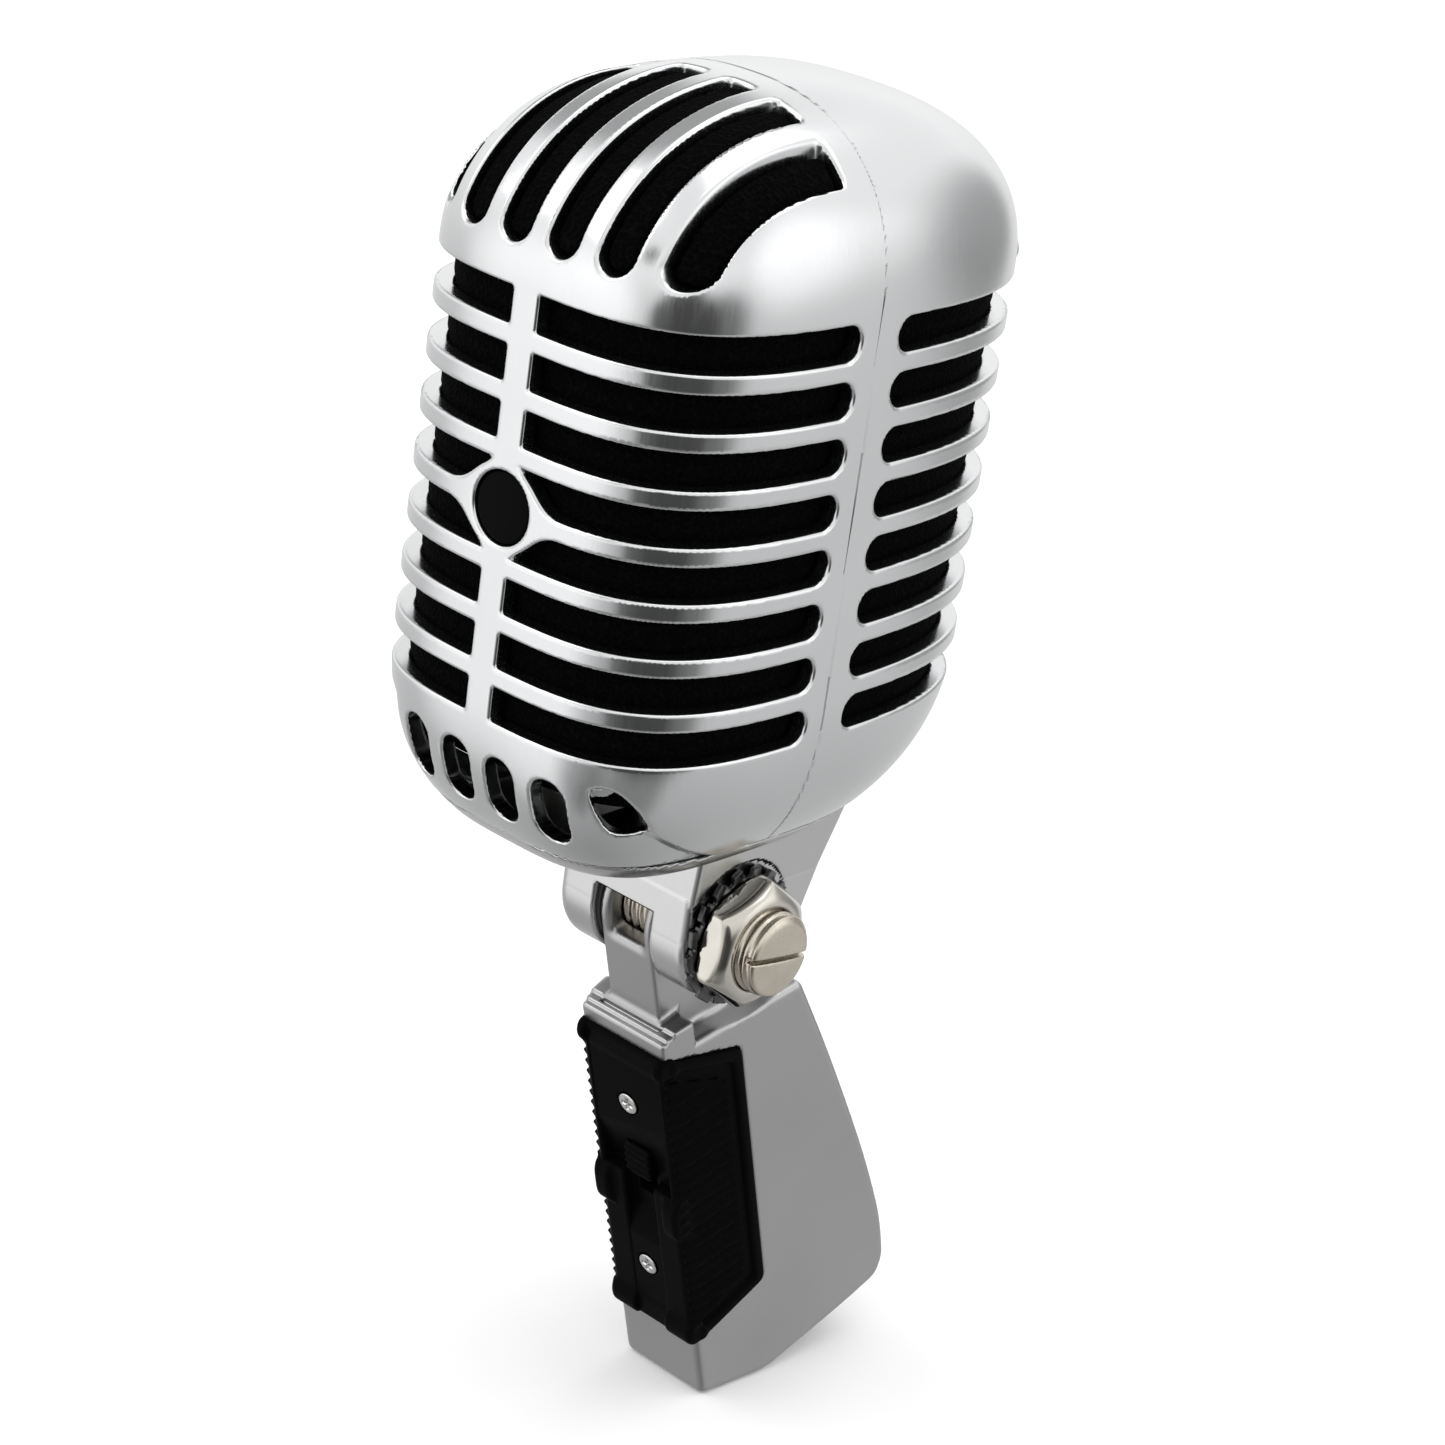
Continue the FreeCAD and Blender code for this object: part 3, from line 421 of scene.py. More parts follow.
BRUSHED = (1, 1, 0.03)
# the handle is the head's satin chrome made rougher, and its darker colour is painted shade for its lower
# place near the floor
CAST_ROUGH_PAINTED_SHADE = metal("handle_cast_painted_shade", (0.34, 0.34, 0.343), (0.43, 0.43, 0.433), (0.3, 0.4), 2600, (1, 1, 1),
                   0.000006, 35)
CAST_YOKE = metal("yoke_cast", (0.47, 0.475, 0.47), (0.54, 0.545, 0.54), (0.2, 0.27), 1500, (1, 1, 1),
                  0.000002, 45)
NUT_PLATE = metal("nut_plate", (0.46, 0.44, 0.4), (0.58, 0.56, 0.51), (0.08, 0.16), 900, (1, 1, 1),
                  0.000006, 200)
# the washer's near-black colour is painted shade: the shadow in the gap between the nut and the ear
WASHER_PAINTED_SHADE = metal("washer_painted_shade", (0.05, 0.05, 0.052), (0.12, 0.12, 0.122), (0.25, 0.4), 1500)
MATERIALS = {
    "satin_chrome": metal("satin_chrome", (0.56, 0.57, 0.575), (0.64, 0.645, 0.65), (0.15, 0.22),
                          3200, BRUSHED, 0.000003, 40),
    "bright_chrome": metal("bright_chrome", (0.66, 0.665, 0.67), (0.74, 0.745, 0.75), (0.05, 0.11), 900),
    "bright_steel": metal("bright_steel", (0.5, 0.5, 0.5), (0.66, 0.66, 0.65), (0.16, 0.3), 1500),
    "nickel": metal("nickel", (0.45, 0.4, 0.33), (0.6, 0.56, 0.49), (0.22, 0.36), 1400,
                    (1, 1, 1), 0.00002, 250),
    "badge_black": plastic("badge_black", (0.002, 0.002, 0.0022), (0.003, 0.003, 0.0033), (0.25, 0.35),
                           700, 0.000004, 0.012),
    "foam_black": foam_material(),
    "cartridge_shell": metal("cartridge_shell", (0.42, 0.42, 0.43), (0.56, 0.56, 0.57), (0.3, 0.42), 2200),
    "diaphragm_film": plastic("diaphragm_film", (0.5, 0.44, 0.3), (0.62, 0.56, 0.4), (0.2, 0.3), 1200),
    "copper": coil_material(),
    "magnet_dark": metal("magnet_dark", (0.12, 0.12, 0.13), (0.2, 0.2, 0.21), (0.4, 0.6), 1200),
    "rubber_black": plastic("rubber_black", (0.012, 0.012, 0.012), (0.022, 0.022, 0.022), (0.6, 0.8), 1600),
    "frame_steel": metal("frame_steel", (0.4, 0.4, 0.39), (0.56, 0.56, 0.54), (0.3, 0.45), 500),
    "lead_black": plastic("lead_black", (0.01, 0.01, 0.01), (0.02, 0.02, 0.02), (0.45, 0.6), 2500),
    "washer_fibre": plastic("washer_fibre", (0.015, 0.014, 0.013), (0.03, 0.028, 0.026), (0.6, 0.8), 2500),
    "grip_black": plastic("grip_black", (0.0016, 0.0016, 0.0017), (0.003, 0.003, 0.0031), (0.32, 0.45),
                          2600, 0.00002, 0.012),
    "switch_black": plastic("switch_black", (0.001, 0.001, 0.001), (0.002, 0.002, 0.002), (0.3, 0.4),
                            2000, 0.00002, 0.02),
    "brass_plain": metal("brass_plain", (0.5, 0.34, 0.12), (0.66, 0.48, 0.2), (0.22, 0.34), 1800),
    "insulator_black": plastic("insulator_black", (0.01, 0.01, 0.01), (0.02, 0.02, 0.02), (0.4, 0.55),
                               1800),
    "pin_silver": metal("pin_silver", (0.62, 0.62, 0.6), (0.74, 0.74, 0.72), (0.12, 0.2), 1500),
}


# ---- the head's castings --------------------------------------------------------------------
def head_level(x, y, z):
    """Below zero inside the head, which is a superellipse seen from above, domed and rounded under."""
    half_w = HEAD_W / 2 + SIDE_TAPER * z
    front = y < 0
    depth = np.where(front, FRONT_D, REAR_D)
    n = np.where(front, FRONT_N, REAR_N)
    across = (np.abs(x) / half_w) ** n
    along = (np.abs(y) / depth) ** n
    both = across + along + 1e-12
    ring = both ** (1 / n)
    dome = (z - DOME_Z) / (CROWN_Z - DOME_Z)
    under = (CHIN_Z - z) / UNDER_H
    lengthwise = along / both
    under_power = UNDER_POWER + np.where(front, UNDER_FULL_FRONT, 0.0) * lengthwise
    dome_power = DOME_POWER - np.where(front, DOME_FLAT_FRONT, DOME_FLAT_REAR) * lengthwise
    power = np.where(under > 0, under_power, dome_power)
    rise = np.maximum(np.maximum(dome, under), 0.0)
    return (ring ** power + rise ** power) ** (1 / power) - 1


def skin(p):
    """Distance to the head's outer skin, as if its underside closed."""
    x, y, z = p.T
    e = 0.02
    level = head_level(x, y, z)
    slope = np.sqrt((head_level(x + e, y, z) - level) ** 2 + (head_level(x, y + e, z) - level) ** 2
                    + (head_level(x, y, z + e) - level) ** 2) / e
    return level / np.maximum(slope, 0.004)


def row_slots(p, front):
    """The wrap-round rows; the front ones stop at the rib and at the webs beside the badge."""
    x, y, z = p.T
    first = ROW_TOP - SLOT_H / 2
    row = np.clip(np.round((first - z) / ROW_PITCH), 0, ROWS - 1)
    past_end = np.maximum(y - FRONT_END_Y if front else REAR_END_Y - y, 0)
    slot = np.hypot(past_end, z - first + row * ROW_PITCH) - SLOT_H / 2
    slot = smooth_max(slot, RIB_HALF - np.abs(x), 0.5)
    if not front:
        return slot
    ring = np.hypot(x, z - BADGE_Z) - RING_R
    bar = np.abs(z - BADGE_Z) - (ROW_PITCH - SLOT_H) / 2
    web = smooth_min(smooth_min(ring, bar, 4.0), np.abs(x) - RIB_HALF, 1.6)
    return np.maximum(slot, -web)


def upright_index(x):
    return np.clip(np.round(x / TOP_PITCH + 2.5), 0, 5)


def dome_slots(p):
    """The six upright slots over the front of the dome."""
    x, y, z = p.T
    half = TOP_SLOT_W / 2
    dx = x - (upright_index(x) - 2.5) * TOP_PITCH
    slot = np.hypot(dx, np.minimum(z - TOP_SLOT_Z - half, 0)) - half
    return smooth_max(slot, y - TOP_SLOT_Y, 1.2)


def past_cheek(y, z):
    """How far a point lies outside the arc of the cheek's lower edge."""
    return np.hypot(y - CHEEK[0], z - CHEEK[1]) - CHEEK[2]


def chin_slots(p):
    """The short upright slots in the chin; the outermost are leaf-shaped."""
    x, y, z = p.T
    half = CHIN_SLOT_W / 2
    index = upright_index(x)
    dx = x - (index - 2.5) * TOP_PITCH
    dz = z - np.clip(z, CHIN_SLOT_LOW + half, CHIN_SLOT_TOP - half)
    slot = np.maximum(np.hypot(dx, dz) - half, y + 12)
    slot = smooth_max(slot, -past_cheek(y, z), 0.4)
    outer = np.abs(index - 2.5) > 2
    inward = np.clip(-skin(p), 0.0, WALL)
    leaf = np.maximum(convex_outline(np.abs(x) + LEAF_LEAN * inward, z, LEAF, 1.5), y + 12)
    return np.where(outer, leaf, slot)


def front_slots(p):
    return np.minimum(row_slots(p, True), np.minimum(dome_slots(p), chin_slots(p)))


def bosses(p, radius):
    """Distance to posts of this radius round the shell screws, of any length."""
    x, y, z = p.T
    out = np.full(len(p), 1e3)
    for sx, sz in SCREWS:
        out = np.minimum(out, np.hypot(x - sx, z - sz) - radius)
    return out


def front_uncut(p):
    """The front shell as if it went on past the seam."""
    x, y, z = p.T
    outer = skin(p)
    corner = smooth_step((np.abs(x) - 16.0) / 7.0) * smooth_step(past_cheek(y, z) / 0.6)
    face = outer + CHEEK_STEP * corner
    shell = smooth_max(face, -(outer + WALL), 0.5)
    shell = smooth_max(shell, -front_slots(p), 0.5)
    boss = np.maximum(np.maximum(bosses(p, BOSS_R), outer + 1.0), 1.2 - bosses(p, 0))
    lug = np.maximum(np.abs(np.abs(x) - LUG_X - 2.2) - 5.2, np.abs(y - LUG_Y + 3) - 6)
    lug = np.maximum(np.maximum(lug, z - BASE_Z - LUG_T), outer + 1.0)
    lug = np.maximum(lug, 1.5 - np.hypot(np.abs(x) - LUG_X, y - LUG_Y))
    shell = np.minimum(shell, np.minimum(boss, lug))
    pocket = np.maximum(np.hypot(x, z - BADGE_Z) - BADGE_R - 0.03, y + FRONT_D - 1.35)
    shell = smooth_max(shell, -pocket, 0.55)
    return smooth_max(shell, BASE_Z - z, 0.4)


def front_shell(p):
    return smooth_max(front_uncut(p), p[:, 1] + SEAM_HALF, 0.1)


def rear_seat_y(x, z):
    """How far back a screw's seat lies: a little under the rear shell's skin at x, z."""
    half_w = HEAD_W / 2 + SIDE_TAPER * z
    if z > 0:
        t, power, rear_power = (z - DOME_Z) / (CROWN_Z - DOME_Z), DOME_POWER, DOME_POWER - DOME_FLAT_REAR
    else:
        t, power, rear_power = (CHIN_Z - z) / UNDER_H, UNDER_POWER, UNDER_POWER
    shrink = (1 - t ** power) ** (1 / power)
    depth = REAR_D * (1 - t ** rear_power) ** (1 / rear_power)
    return depth * (1 - (abs(x) / (half_w * shrink)) ** REAR_N) ** (1 / REAR_N) - SEAT_UNDER


def rear_uncut(p):
    """The rear shell as if it went on past the seam."""
    x, y, z = p.T
    outer = skin(p)
    shell = smooth_max(outer, -(outer + WALL), 0.5)
    shell = smooth_max(shell, -row_slots(p, False), 0.5)
    shell = np.minimum(shell, np.maximum(bosses(p, SEAT_R), outer + 0.6))
    for sx, sz in SCREWS:
        seat = np.maximum(np.hypot(x - sx, z - sz) - SCREW_HEAD_R - 0.25, rear_seat_y(sx, sz) - y)
        shell = smooth_max(shell, -seat, 0.4)
    return smooth_max(shell, BASE_Z - z, 0.4)


def rear_shell(p):
    return smooth_max(rear_uncut(p), SEAM_HALF - p[:, 1], 0.1)


def foam(front):
    def field(p):
        x, y, z = p.T
        outer = skin(p)
        bulge = 0.35 * smooth_step(-row_slots(p, front) / 1.3)
        if front:
            bulge = np.maximum(bulge, 1.75 * smooth_step(-dome_slots(p) / 0.8))
        layer = smooth_max(outer + WALL + 0.04 - bulge, -(outer + WALL + FOAM_T), 0.8)
        layer = smooth_max(layer, 0.1 - bosses(p, BOSS_R if front else SEAT_R), 0.3)
        layer = smooth_max(layer, -32.0 - z, 0.6)
        return smooth_max(layer, y + 0.1 if front else 0.1 - y, 0.5)
    return field


def make_head():
    width, low, high = HEAD_W / 2 + 1.4, BASE_Z - 1.2, CROWN_Z + 1.2
    chrome = MATERIALS["satin_chrome"]
    mesh_field("front_grille_casting", front_shell, (-width, -FRONT_D - 1, low), (width, 1.2, high), 0.42,
               head_place, "head", ["front_grille"], chrome, 190000, front_uncut)
    mesh_field("rear_grille_casting", rear_shell, (-width, -1.2, low), (width, REAR_D + 1, high), 0.46,
               head_place, "head", ["rear_grille"], chrome, 190000, rear_uncut)
    for name, front, y0, y1 in (("front_foam", True, -FRONT_D, 1.0), ("rear_foam", False, -1.0, REAR_D)):
        pad = mesh_field(name + "_pad", foam(front), (-width, y0, -34.0), (width, y1, CROWN_Z), 0.8,
                         head_place, "head", [name], MATERIALS["foam_black"], 90000)


def make_badge():
    def field(p):
        r = np.hypot(p[:, 0], p[:, 2] - BADGE_Z)
        dome = -FRONT_D + 0.25 + r * r / 90 - p[:, 1]
        return smooth_max(smooth_max(r - BADGE_R + 0.05, dome, 0.5), p[:, 1] + FRONT_D - 1.25, 0.1)
    low = (-BADGE_R - 1, -FRONT_D - 0.6, BADGE_Z - BADGE_R - 1)
    high = (BADGE_R + 1, -FRONT_D + 2.2, BADGE_Z + BADGE_R + 1)
    mesh_field("badge_enamel", field, low, high, 0.2, head_place, "head", ["badge_disc"],
               MATERIALS["badge_black"])


# ---- the swivel -----------------------------------------------------------------------------
def yoke(p):
    """The forked bracket: a base that closes the head, a flat-sided neck and two ears."""
    x, y, z = p.T
    rear_y, rear_z, slope = YOKE_REAR
    flank = np.abs(x) - EAR_OUT - 0.07 * (z - FORK_Z)
    rear = (y - rear_y - slope * (z - rear_z)) / math.hypot(1, slope)
    neck = smooth_max(smooth_max(flank, rear, 1.9), YOKE_FRONT_Y - y, 1.0)
    neck = smooth_max(neck, FORK_Z - 1.0 - z, 1.0)
    collar = smooth_max(skin(p) + 0.06, NECK_Z - 1.0 - z, 1.0)
    neck = smooth_min(neck, collar, 1.6)
    for boss_x, boss_y, radius, low in YOKE_BOSSES:
        boss = smooth_max(np.hypot(np.abs(x) - boss_x, y - boss_y) - radius, low - z, 0.6)
        neck = smooth_min(neck, boss, 1.2)
    from_axis = np.hypot(y - HINGE_Y, z - HINGE_Z)
    heel_y, heel_z, heel_r = HEEL_ROUND
    web = convex_outline(y, z, EAR_PLATE, 0.5)
    plate = np.minimum(web, np.minimum(from_axis - EAR_R, np.hypot(y - heel_y, z - heel_z) - heel_r))
    ears = smooth_max(plate, np.abs(x) - EAR_OUT, 1.8)
    body = np.minimum(neck, ears)
    spot = np.maximum(from_axis - SPOT_R, EAR_OUT - SPOT_DEEP - np.abs(x))
    body = smooth_max(body, -spot, 0.2)
    clear = TONGUE_R + 1.0
    behind = np.maximum(z - HINGE_Z - clear, HINGE_Y - y)
    gap = np.maximum(np.abs(x) - EAR_IN, np.minimum(np.minimum(from_axis - clear, z - HINGE_Z), behind))
    body = smooth_max(body, -gap, 0.5)
    body = smooth_max(body, BOLT_R + 0.01 - from_axis, 0.3)
    body = smooth_max(body, 3.0 - np.hypot(x, y - HINGE_Y - 1.8), 0.4)
    return smooth_max(body, z - BASE_Z + 0.02, 0.15)


def bolt(p):
    """The threaded pivot bolt along x, slotted at both ends."""
    x, y, z = p.T
    r = np.hypot(y, z)
    turn = x / 1.45 - np.arctan2(z, y) / (2 * math.pi)
    ridge = np.abs(turn - np.floor(turn) - 0.5) * 2
    shank = (r - BOLT_R + 0.34 * smooth_step(ridge * 1.15)) * 0.8
    end = x - BOLT_END_X + r * r / 110
    shank = smooth_max(smooth_max(shank, end, 0.7), (r - BOLT_R + 0.35 + end) * 0.7, 0.2)
    shank = np.maximum(shank, -EAR_OUT - 0.5 - x)
    head = smooth_max(r - 7.4, -EAR_OUT - 1.6 + r * r / 140 - x, 0.9)
    head = smooth_max(head, x + EAR_OUT, 0.1)
    across = z * math.cos(BOLT_SLOT_TURN) - y * math.sin(BOLT_SLOT_TURN)
    slot = np.maximum(np.abs(across) - 0.32, BOLT_END_X - 1.6 - x)
    rear_slot = np.maximum(np.abs(across) - 0.6, x + EAR_OUT + 0.7)
    return smooth_max(np.minimum(shank, head), -np.minimum(slot, rear_slot), 0.25)


def nut(p):
    """A hexagon nut with a domed crown."""
    x, y, z = p.T
    base, face = EAR_OUT + STAR_T, EAR_OUT + STAR_T + NUT_T
    r = np.hypot(y, z)
    hexagon = None
    for i in range(3):
        a = math.radians(NUT_TURN + 30 + 60 * i)
        side = np.abs(y * math.cos(a) + z * math.sin(a)) - NUT_AF / 2
        hexagon = side if hexagon is None else smooth_max(hexagon, side, 0.7)
    crown = (r - NUT_AF / 2 + 1.3) * 0.55 + (x - face) * 0.835
    foot = (r - NUT_AF / 2 - 0.2) * 0.5 + (base - x) * 0.866
    solid = smooth_max(smooth_max(hexagon, crown, 1.2), smooth_max(x - face, foot, 0.1), 0.5)
    solid = smooth_max(solid, base - x, 0.1)
    return smooth_max(solid, BOLT_R + 0.02 - r, 0.5)


def star_washer(p):
    """A lock washer with sixteen twisted teeth."""
    x, y, z = p.T
    r, a = np.hypot(y, z), np.arctan2(z, y)
    phase = a * 16 / (2 * math.pi)
    tooth = phase - np.floor(phase) - 0.5
    outside = smooth_step((r - 8.3) / 0.6)
    level = x - EAR_OUT - STAR_T / 2 - 0.9 * tooth * outside
    reach = 8.9 + 1.0 * smooth_step((0.36 - np.abs(tooth)) / 0.1)
    ring = smooth_max(r - reach, BOLT_R + 0.05 - r, 0.1)
    flat = np.maximum(np.abs(level) - 0.38, np.abs(x - EAR_OUT - STAR_T / 2) - STAR_T / 2 + 0.01)
    return smooth_max(ring, flat, 0.1)


def make_swivel():
    mesh_field("swivel_yoke_casting", yoke, (-22.5, -29.5, HINGE_Z - 10.5), (22.5, 38, BASE_Z + 0.6), 0.4,
               head_place, "head", ["swivel_yoke"], CAST_YOKE, 120000)
    mesh_field("pivot_bolt_threaded", bolt, (-15.2, -8.4, -8.4), (BOLT_END_X + 0.8, 8.4, 8.4), 0.24,
               swivel_place, "head", ["pivot_bolt"], MATERIALS["nickel"], 90000)
    mesh_field("pivot_nut_hex", nut, (EAR_OUT, -10.8, -10.8), (18.4, 10.8, 10.8), 0.24,
               swivel_place, "head", ["pivot_nut"], NUT_PLATE, 60000)
    mesh_field("star_washer_toothed", star_washer, (EAR_OUT - 0.6, -10.8, -10.8), (13.4, 10.8, 10.8), 0.2,
               swivel_place, "head", ["star_washer"], WASHER_PAINTED_SHADE, 60000)


# ---- the handle -----------------------------------------------------------------------------
def base_z(b):
    """Height of the level bottom in the leaning frame, b behind the swivel's axis."""
    return -(HINGE[2] + b * math.sin(RAKE)) / math.cos(RAKE)


KINK, HEEL = (0.9, base_z(0.9)), (20.4, -84.2)
SIDE = [(METAL_FRONT_B, base_z(METAL_FRONT_B)), (METAL_FRONT_B, -17.3), (14.0, -18.7),
        (17.0, -29.4), (21.0, -46.2), (24.4, -63.1), (25.7, -74.0), (25.4, -80.6), (23.6, -83.4), HEEL, KINK]


def half_width(b):
    share = (b - METAL_FRONT_B) / (REAR_B - METAL_FRONT_B)
    return FRONT_HALF + (REAR_HALF - FRONT_HALF) * share


def grip_outline(b, z, grow):
    points = [(-30.0, GRIP_TOP + grow), (GRIP_FRONT_B, GRIP_TOP + grow),
              (GRIP_REAR_B + grow, GRIP_TOP_REAR + grow), (GRIP_REAR_B + grow, GRIP_LOW_REAR - grow),
              (GRIP_FRONT_B + 0.5, GRIP_LOW - grow), (-30.0, GRIP_LOW - grow)]
    return convex_outline(b, z, points, 1.2)


def inlet_frame():
    """Middle of the sloped rear facet of the bottom, the way out of it, and the way along it."""
    length = math.hypot(HEEL[0] - KINK[0], HEEL[1] - KINK[1])
    along = ((HEEL[0] - KINK[0]) / length, (HEEL[1] - KINK[1]) / length)
    at = (KINK[0] + along[0] * 12.7, KINK[1] + along[1] * 12.7)
    return at, (along[1], -along[0]), along


def casting(p):
    """The handle: x across, b to the back and z along it, from the swivel's axis."""
    x, b, z = p.T
    sides = (np.abs(x) - half_width(b)) * 0.995
    outline = convex_outline(b, z, SIDE, 0.9)
    body = smooth_max(outline, sides, 1.1)
    saddle = SADDLE[2] - np.hypot(b - SADDLE[0], z - SADDLE[1])
    body = smooth_max(body, saddle, 0.35)
    top = z - LIP_Z + 0.5 * smooth_step((-9.0 - b) / 0.3) + 0.5 * smooth_step((-10.1 - b) / 0.3)
    lip = smooth_max(METAL_FRONT_B + 0.1 - b, top, 0.5)
    lip = np.maximum(np.maximum(lip, b + 5.5), LIP_LOW - 3 - z)
    lip = smooth_max(lip, sides, 0.5)
    groove = np.maximum(np.abs(b + 9.4) - 0.22, np.maximum(LIP_Z - 1.0 - z, np.abs(x) - 5.4))
    body = np.minimum(body, smooth_max(lip, -groove, 0.15))
    shank = np.maximum(np.abs(b + 0.15) - 8.55, np.maximum(z, -24 - z))
    tongue = np.minimum(np.hypot(b, z) - TONGUE_R, shank)
    tongue = smooth_max(tongue, np.abs(x) - TONGUE_HALF, 0.7)
    body = smooth_min(body, tongue, 1.2)
    window = smooth_max(np.abs(x) - 3.0, np.abs(z - 1.8) - 3.6, 1.4)
    body = smooth_max(body, -np.maximum(window, b - 6.0), 1.3)
    body = smooth_max(body, BOLT_R + 0.05 - np.hypot(b, z), 0.3)
    recess = np.maximum(grip_outline(b, z, 0.06), -np.maximum(half_inside(x, b), PLATE_BACK_B - b))
    body = smooth_max(body, -recess, 0.25)
    cavity = np.maximum(np.abs(x) - half_width(b) + SHELL_T, CAVITY_B - b)
    cavity = np.maximum(cavity, np.maximum(CAVITY_Z[0] - z, z - CAVITY_Z[1]))
    cavity = np.maximum(cavity, (b - 20.5) * 0.97 + (z - CAVITY_Z[0]) * 0.2)
    body = smooth_max(body, -cavity, 0.6)
    switch_hole = np.maximum(np.abs(x) - 3.3, np.maximum(np.abs(z - SWITCH_Z) - 8.6, b + 5.0))
    body = smooth_max(body, -switch_hole, 0.3)
    at, out, along = inlet_frame()
    deep = -((b - at[0]) * out[0] + (z - at[1]) * out[1])
    beside = (b - at[0]) * along[0] + (z - at[1]) * along[1]
    body = smooth_max(body, -np.maximum(np.hypot(x, beside) - INLET_HOLE_R, deep - INLET_DEEP), 0.4)
    c, s = math.cos(RAKE), math.sin(RAKE)
    y_part = b * c - z * s + HINGE[1]
    z_part = b * s + z * c + HINGE[2]
    bush_hole = np.maximum(np.hypot(x, y_part) - BUSH_HOLE_R, z_part - BUSH_DEEP)
    return smooth_max(body, -bush_hole, 0.3)


def half_inside(x, b):
    return np.abs(x) - half_width(b) + PLATE_WALL


def ribs(b, z, sides):
    """Saw-tooth ribs across the side of the plate, and the raised border round them."""
    turn = (z - GRIP_TOP + 5.3) / RIB_STEP
    ridge = np.abs(turn - np.floor(turn) - 0.5) * 2
    teeth = (sides - 0.75 + 0.95 * ridge) * 0.75
    teeth = smooth_max(teeth, grip_outline(b, z, -3.4), 0.3)
    teeth = smooth_max(teeth, GRIP_FRONT_B + 0.35 - b, 0.4)
    border = smooth_max(np.abs(grip_outline(b, z, -0.9)) - 0.9, sides - 0.6, 0.7)
    border = smooth_max(border, -10.5 - b, 0.8)
    return np.minimum(teeth, border)


def thumb_recess(x, b, z):
    """A ramp down to the slider, and the channel the slider runs in."""
    depth = THUMB_DEEP * np.clip((-31.0 - 0.25 * (7 - x) - z) / 8.5, 0.0, 1.0)
    ramp = np.maximum(b - GRIP_FRONT_B - depth, np.maximum(np.abs(x) - 6.5, GUARD_Z[1] - z))
    run_out = THUMB_DEEP * np.clip((z + 55.0) / 5.0, 0.0, 1.0)
    channel = np.maximum(b - GRIP_FRONT_B - run_out, np.maximum(np.abs(x) - 2.9, z - GUARD_Z[1] - 0.5))
    return np.minimum(ramp, channel)


def grip(p):
    """The grip plate: its core, ribbed sides, the rolls at both ends and the slider's guards."""
    x, b, z = p.T
    sides = np.abs(x) - half_width(b)
    outline = grip_outline(b, z, 0.0)
    core = smooth_max(smooth_max(outline, sides + 0.15, 0.5), GRIP_FRONT_B - b, 0.8)
    flange_top = smooth_max(np.abs(z - GRIP_TOP + 1.7) - 1.7, GRIP_FRONT_B - 1.0 - b, 1.8)
    flange_low = smooth_max(np.abs(z - GRIP_LOW - 2.0) - 2.0, GRIP_FRONT_B - 0.9 - b, 1.8)
    flanges = smooth_max(np.minimum(flange_top, flange_low), smooth_max(sides - 0.4, b + 10.0, 0.6), 0.9)
    guard_middle, guard_half = sum(GUARD_Z) / 2, (GUARD_Z[1] - GUARD_Z[0]) / 2
    hump = GRIP_FRONT_B - 1.15 * (1 - ((z - guard_middle) / guard_half) ** 4) - b
    guard = smooth_max(hump, np.maximum(np.abs(z - guard_middle) - guard_half, b + 10.0), 0.5)
    guard = smooth_max(guard, np.maximum(np.abs(x) - half_width(b) - 0.5, 5.2 - np.abs(x)), 0.8)
    plate = smooth_min(smooth_min(core, ribs(b, z, sides), 0.25), flanges, 0.9)
    plate = smooth_max(plate, -thumb_recess(x, b, z), 0.5)
    plate = smooth_min(plate, guard, 0.6)
    plate = smooth_max(plate, -np.maximum(half_inside(x, b), PLATE_BACK_B - b), 0.2)
    window = np.maximum(np.abs(x) - 1.8, np.abs(z - SWITCH_Z - 0.25) - 5.1)
    plate = smooth_max(plate, -window, 0.3)
    for sz in GRIP_SCREW_Z:
        r = np.hypot(x, z - sz)
        hole = np.minimum(r - 1.4, (r - GRIP_SCREW_R - 0.3) * 0.75 + (b - GRIP_FRONT_B) * 0.5)
        plate = smooth_max(plate, -hole, 0.25)
    return plate


def slider(p):
    x, b, z = p.T
    top = SWITCH_Z + 4.7
    middle = z - top + 2.45
    stem = np.maximum(np.abs(x) - 1.35, np.maximum(np.abs(middle) - 2.45, np.abs(b + 8.2) - 2.0))
    knob = smooth_max(np.abs(x) - 2.4, np.abs(middle) - 2.9, 0.8)
    grooves = 0.2 * np.cos(middle * 2 * math.pi / 1.25)
    knob = smooth_max(smooth_max(knob, -11.75 - b + grooves + middle ** 2 / 60, 0.5), b + 10.1, 0.2)
    return smooth_min(stem, knob, 0.3)


def grip_screws(p):
    x, b, z = p.T
    out = np.full(len(p), 1e3)
    for sz in GRIP_SCREW_Z:
        dz = z - sz
        r = np.hypot(x, dz)
        head = smooth_max((r - GRIP_SCREW_R) * 0.8 + (b - GRIP_FRONT_B) * 0.5,
                          GRIP_FRONT_B - 0.1 + r * r / 40 - b, 0.25)
        head = smooth_max(head, b - GRIP_FRONT_B - 1.5, 0.1)
        shank = np.maximum(r - 1.2, np.maximum(GRIP_FRONT_B + 1.2 - b, b - GRIP_FRONT_B - 7.5))
        cross = np.minimum(np.maximum(np.abs(x) - 0.24, np.abs(dz) - 1.0),
                           np.maximum(np.abs(dz) - 0.24, np.abs(x) - 1.0))
        cross = np.maximum(cross + (b - GRIP_FRONT_B) * 0.3, b - GRIP_FRONT_B - 0.9)
        out = np.minimum(out, smooth_max(np.minimum(head, shank), -cross, 0.15))
    return out


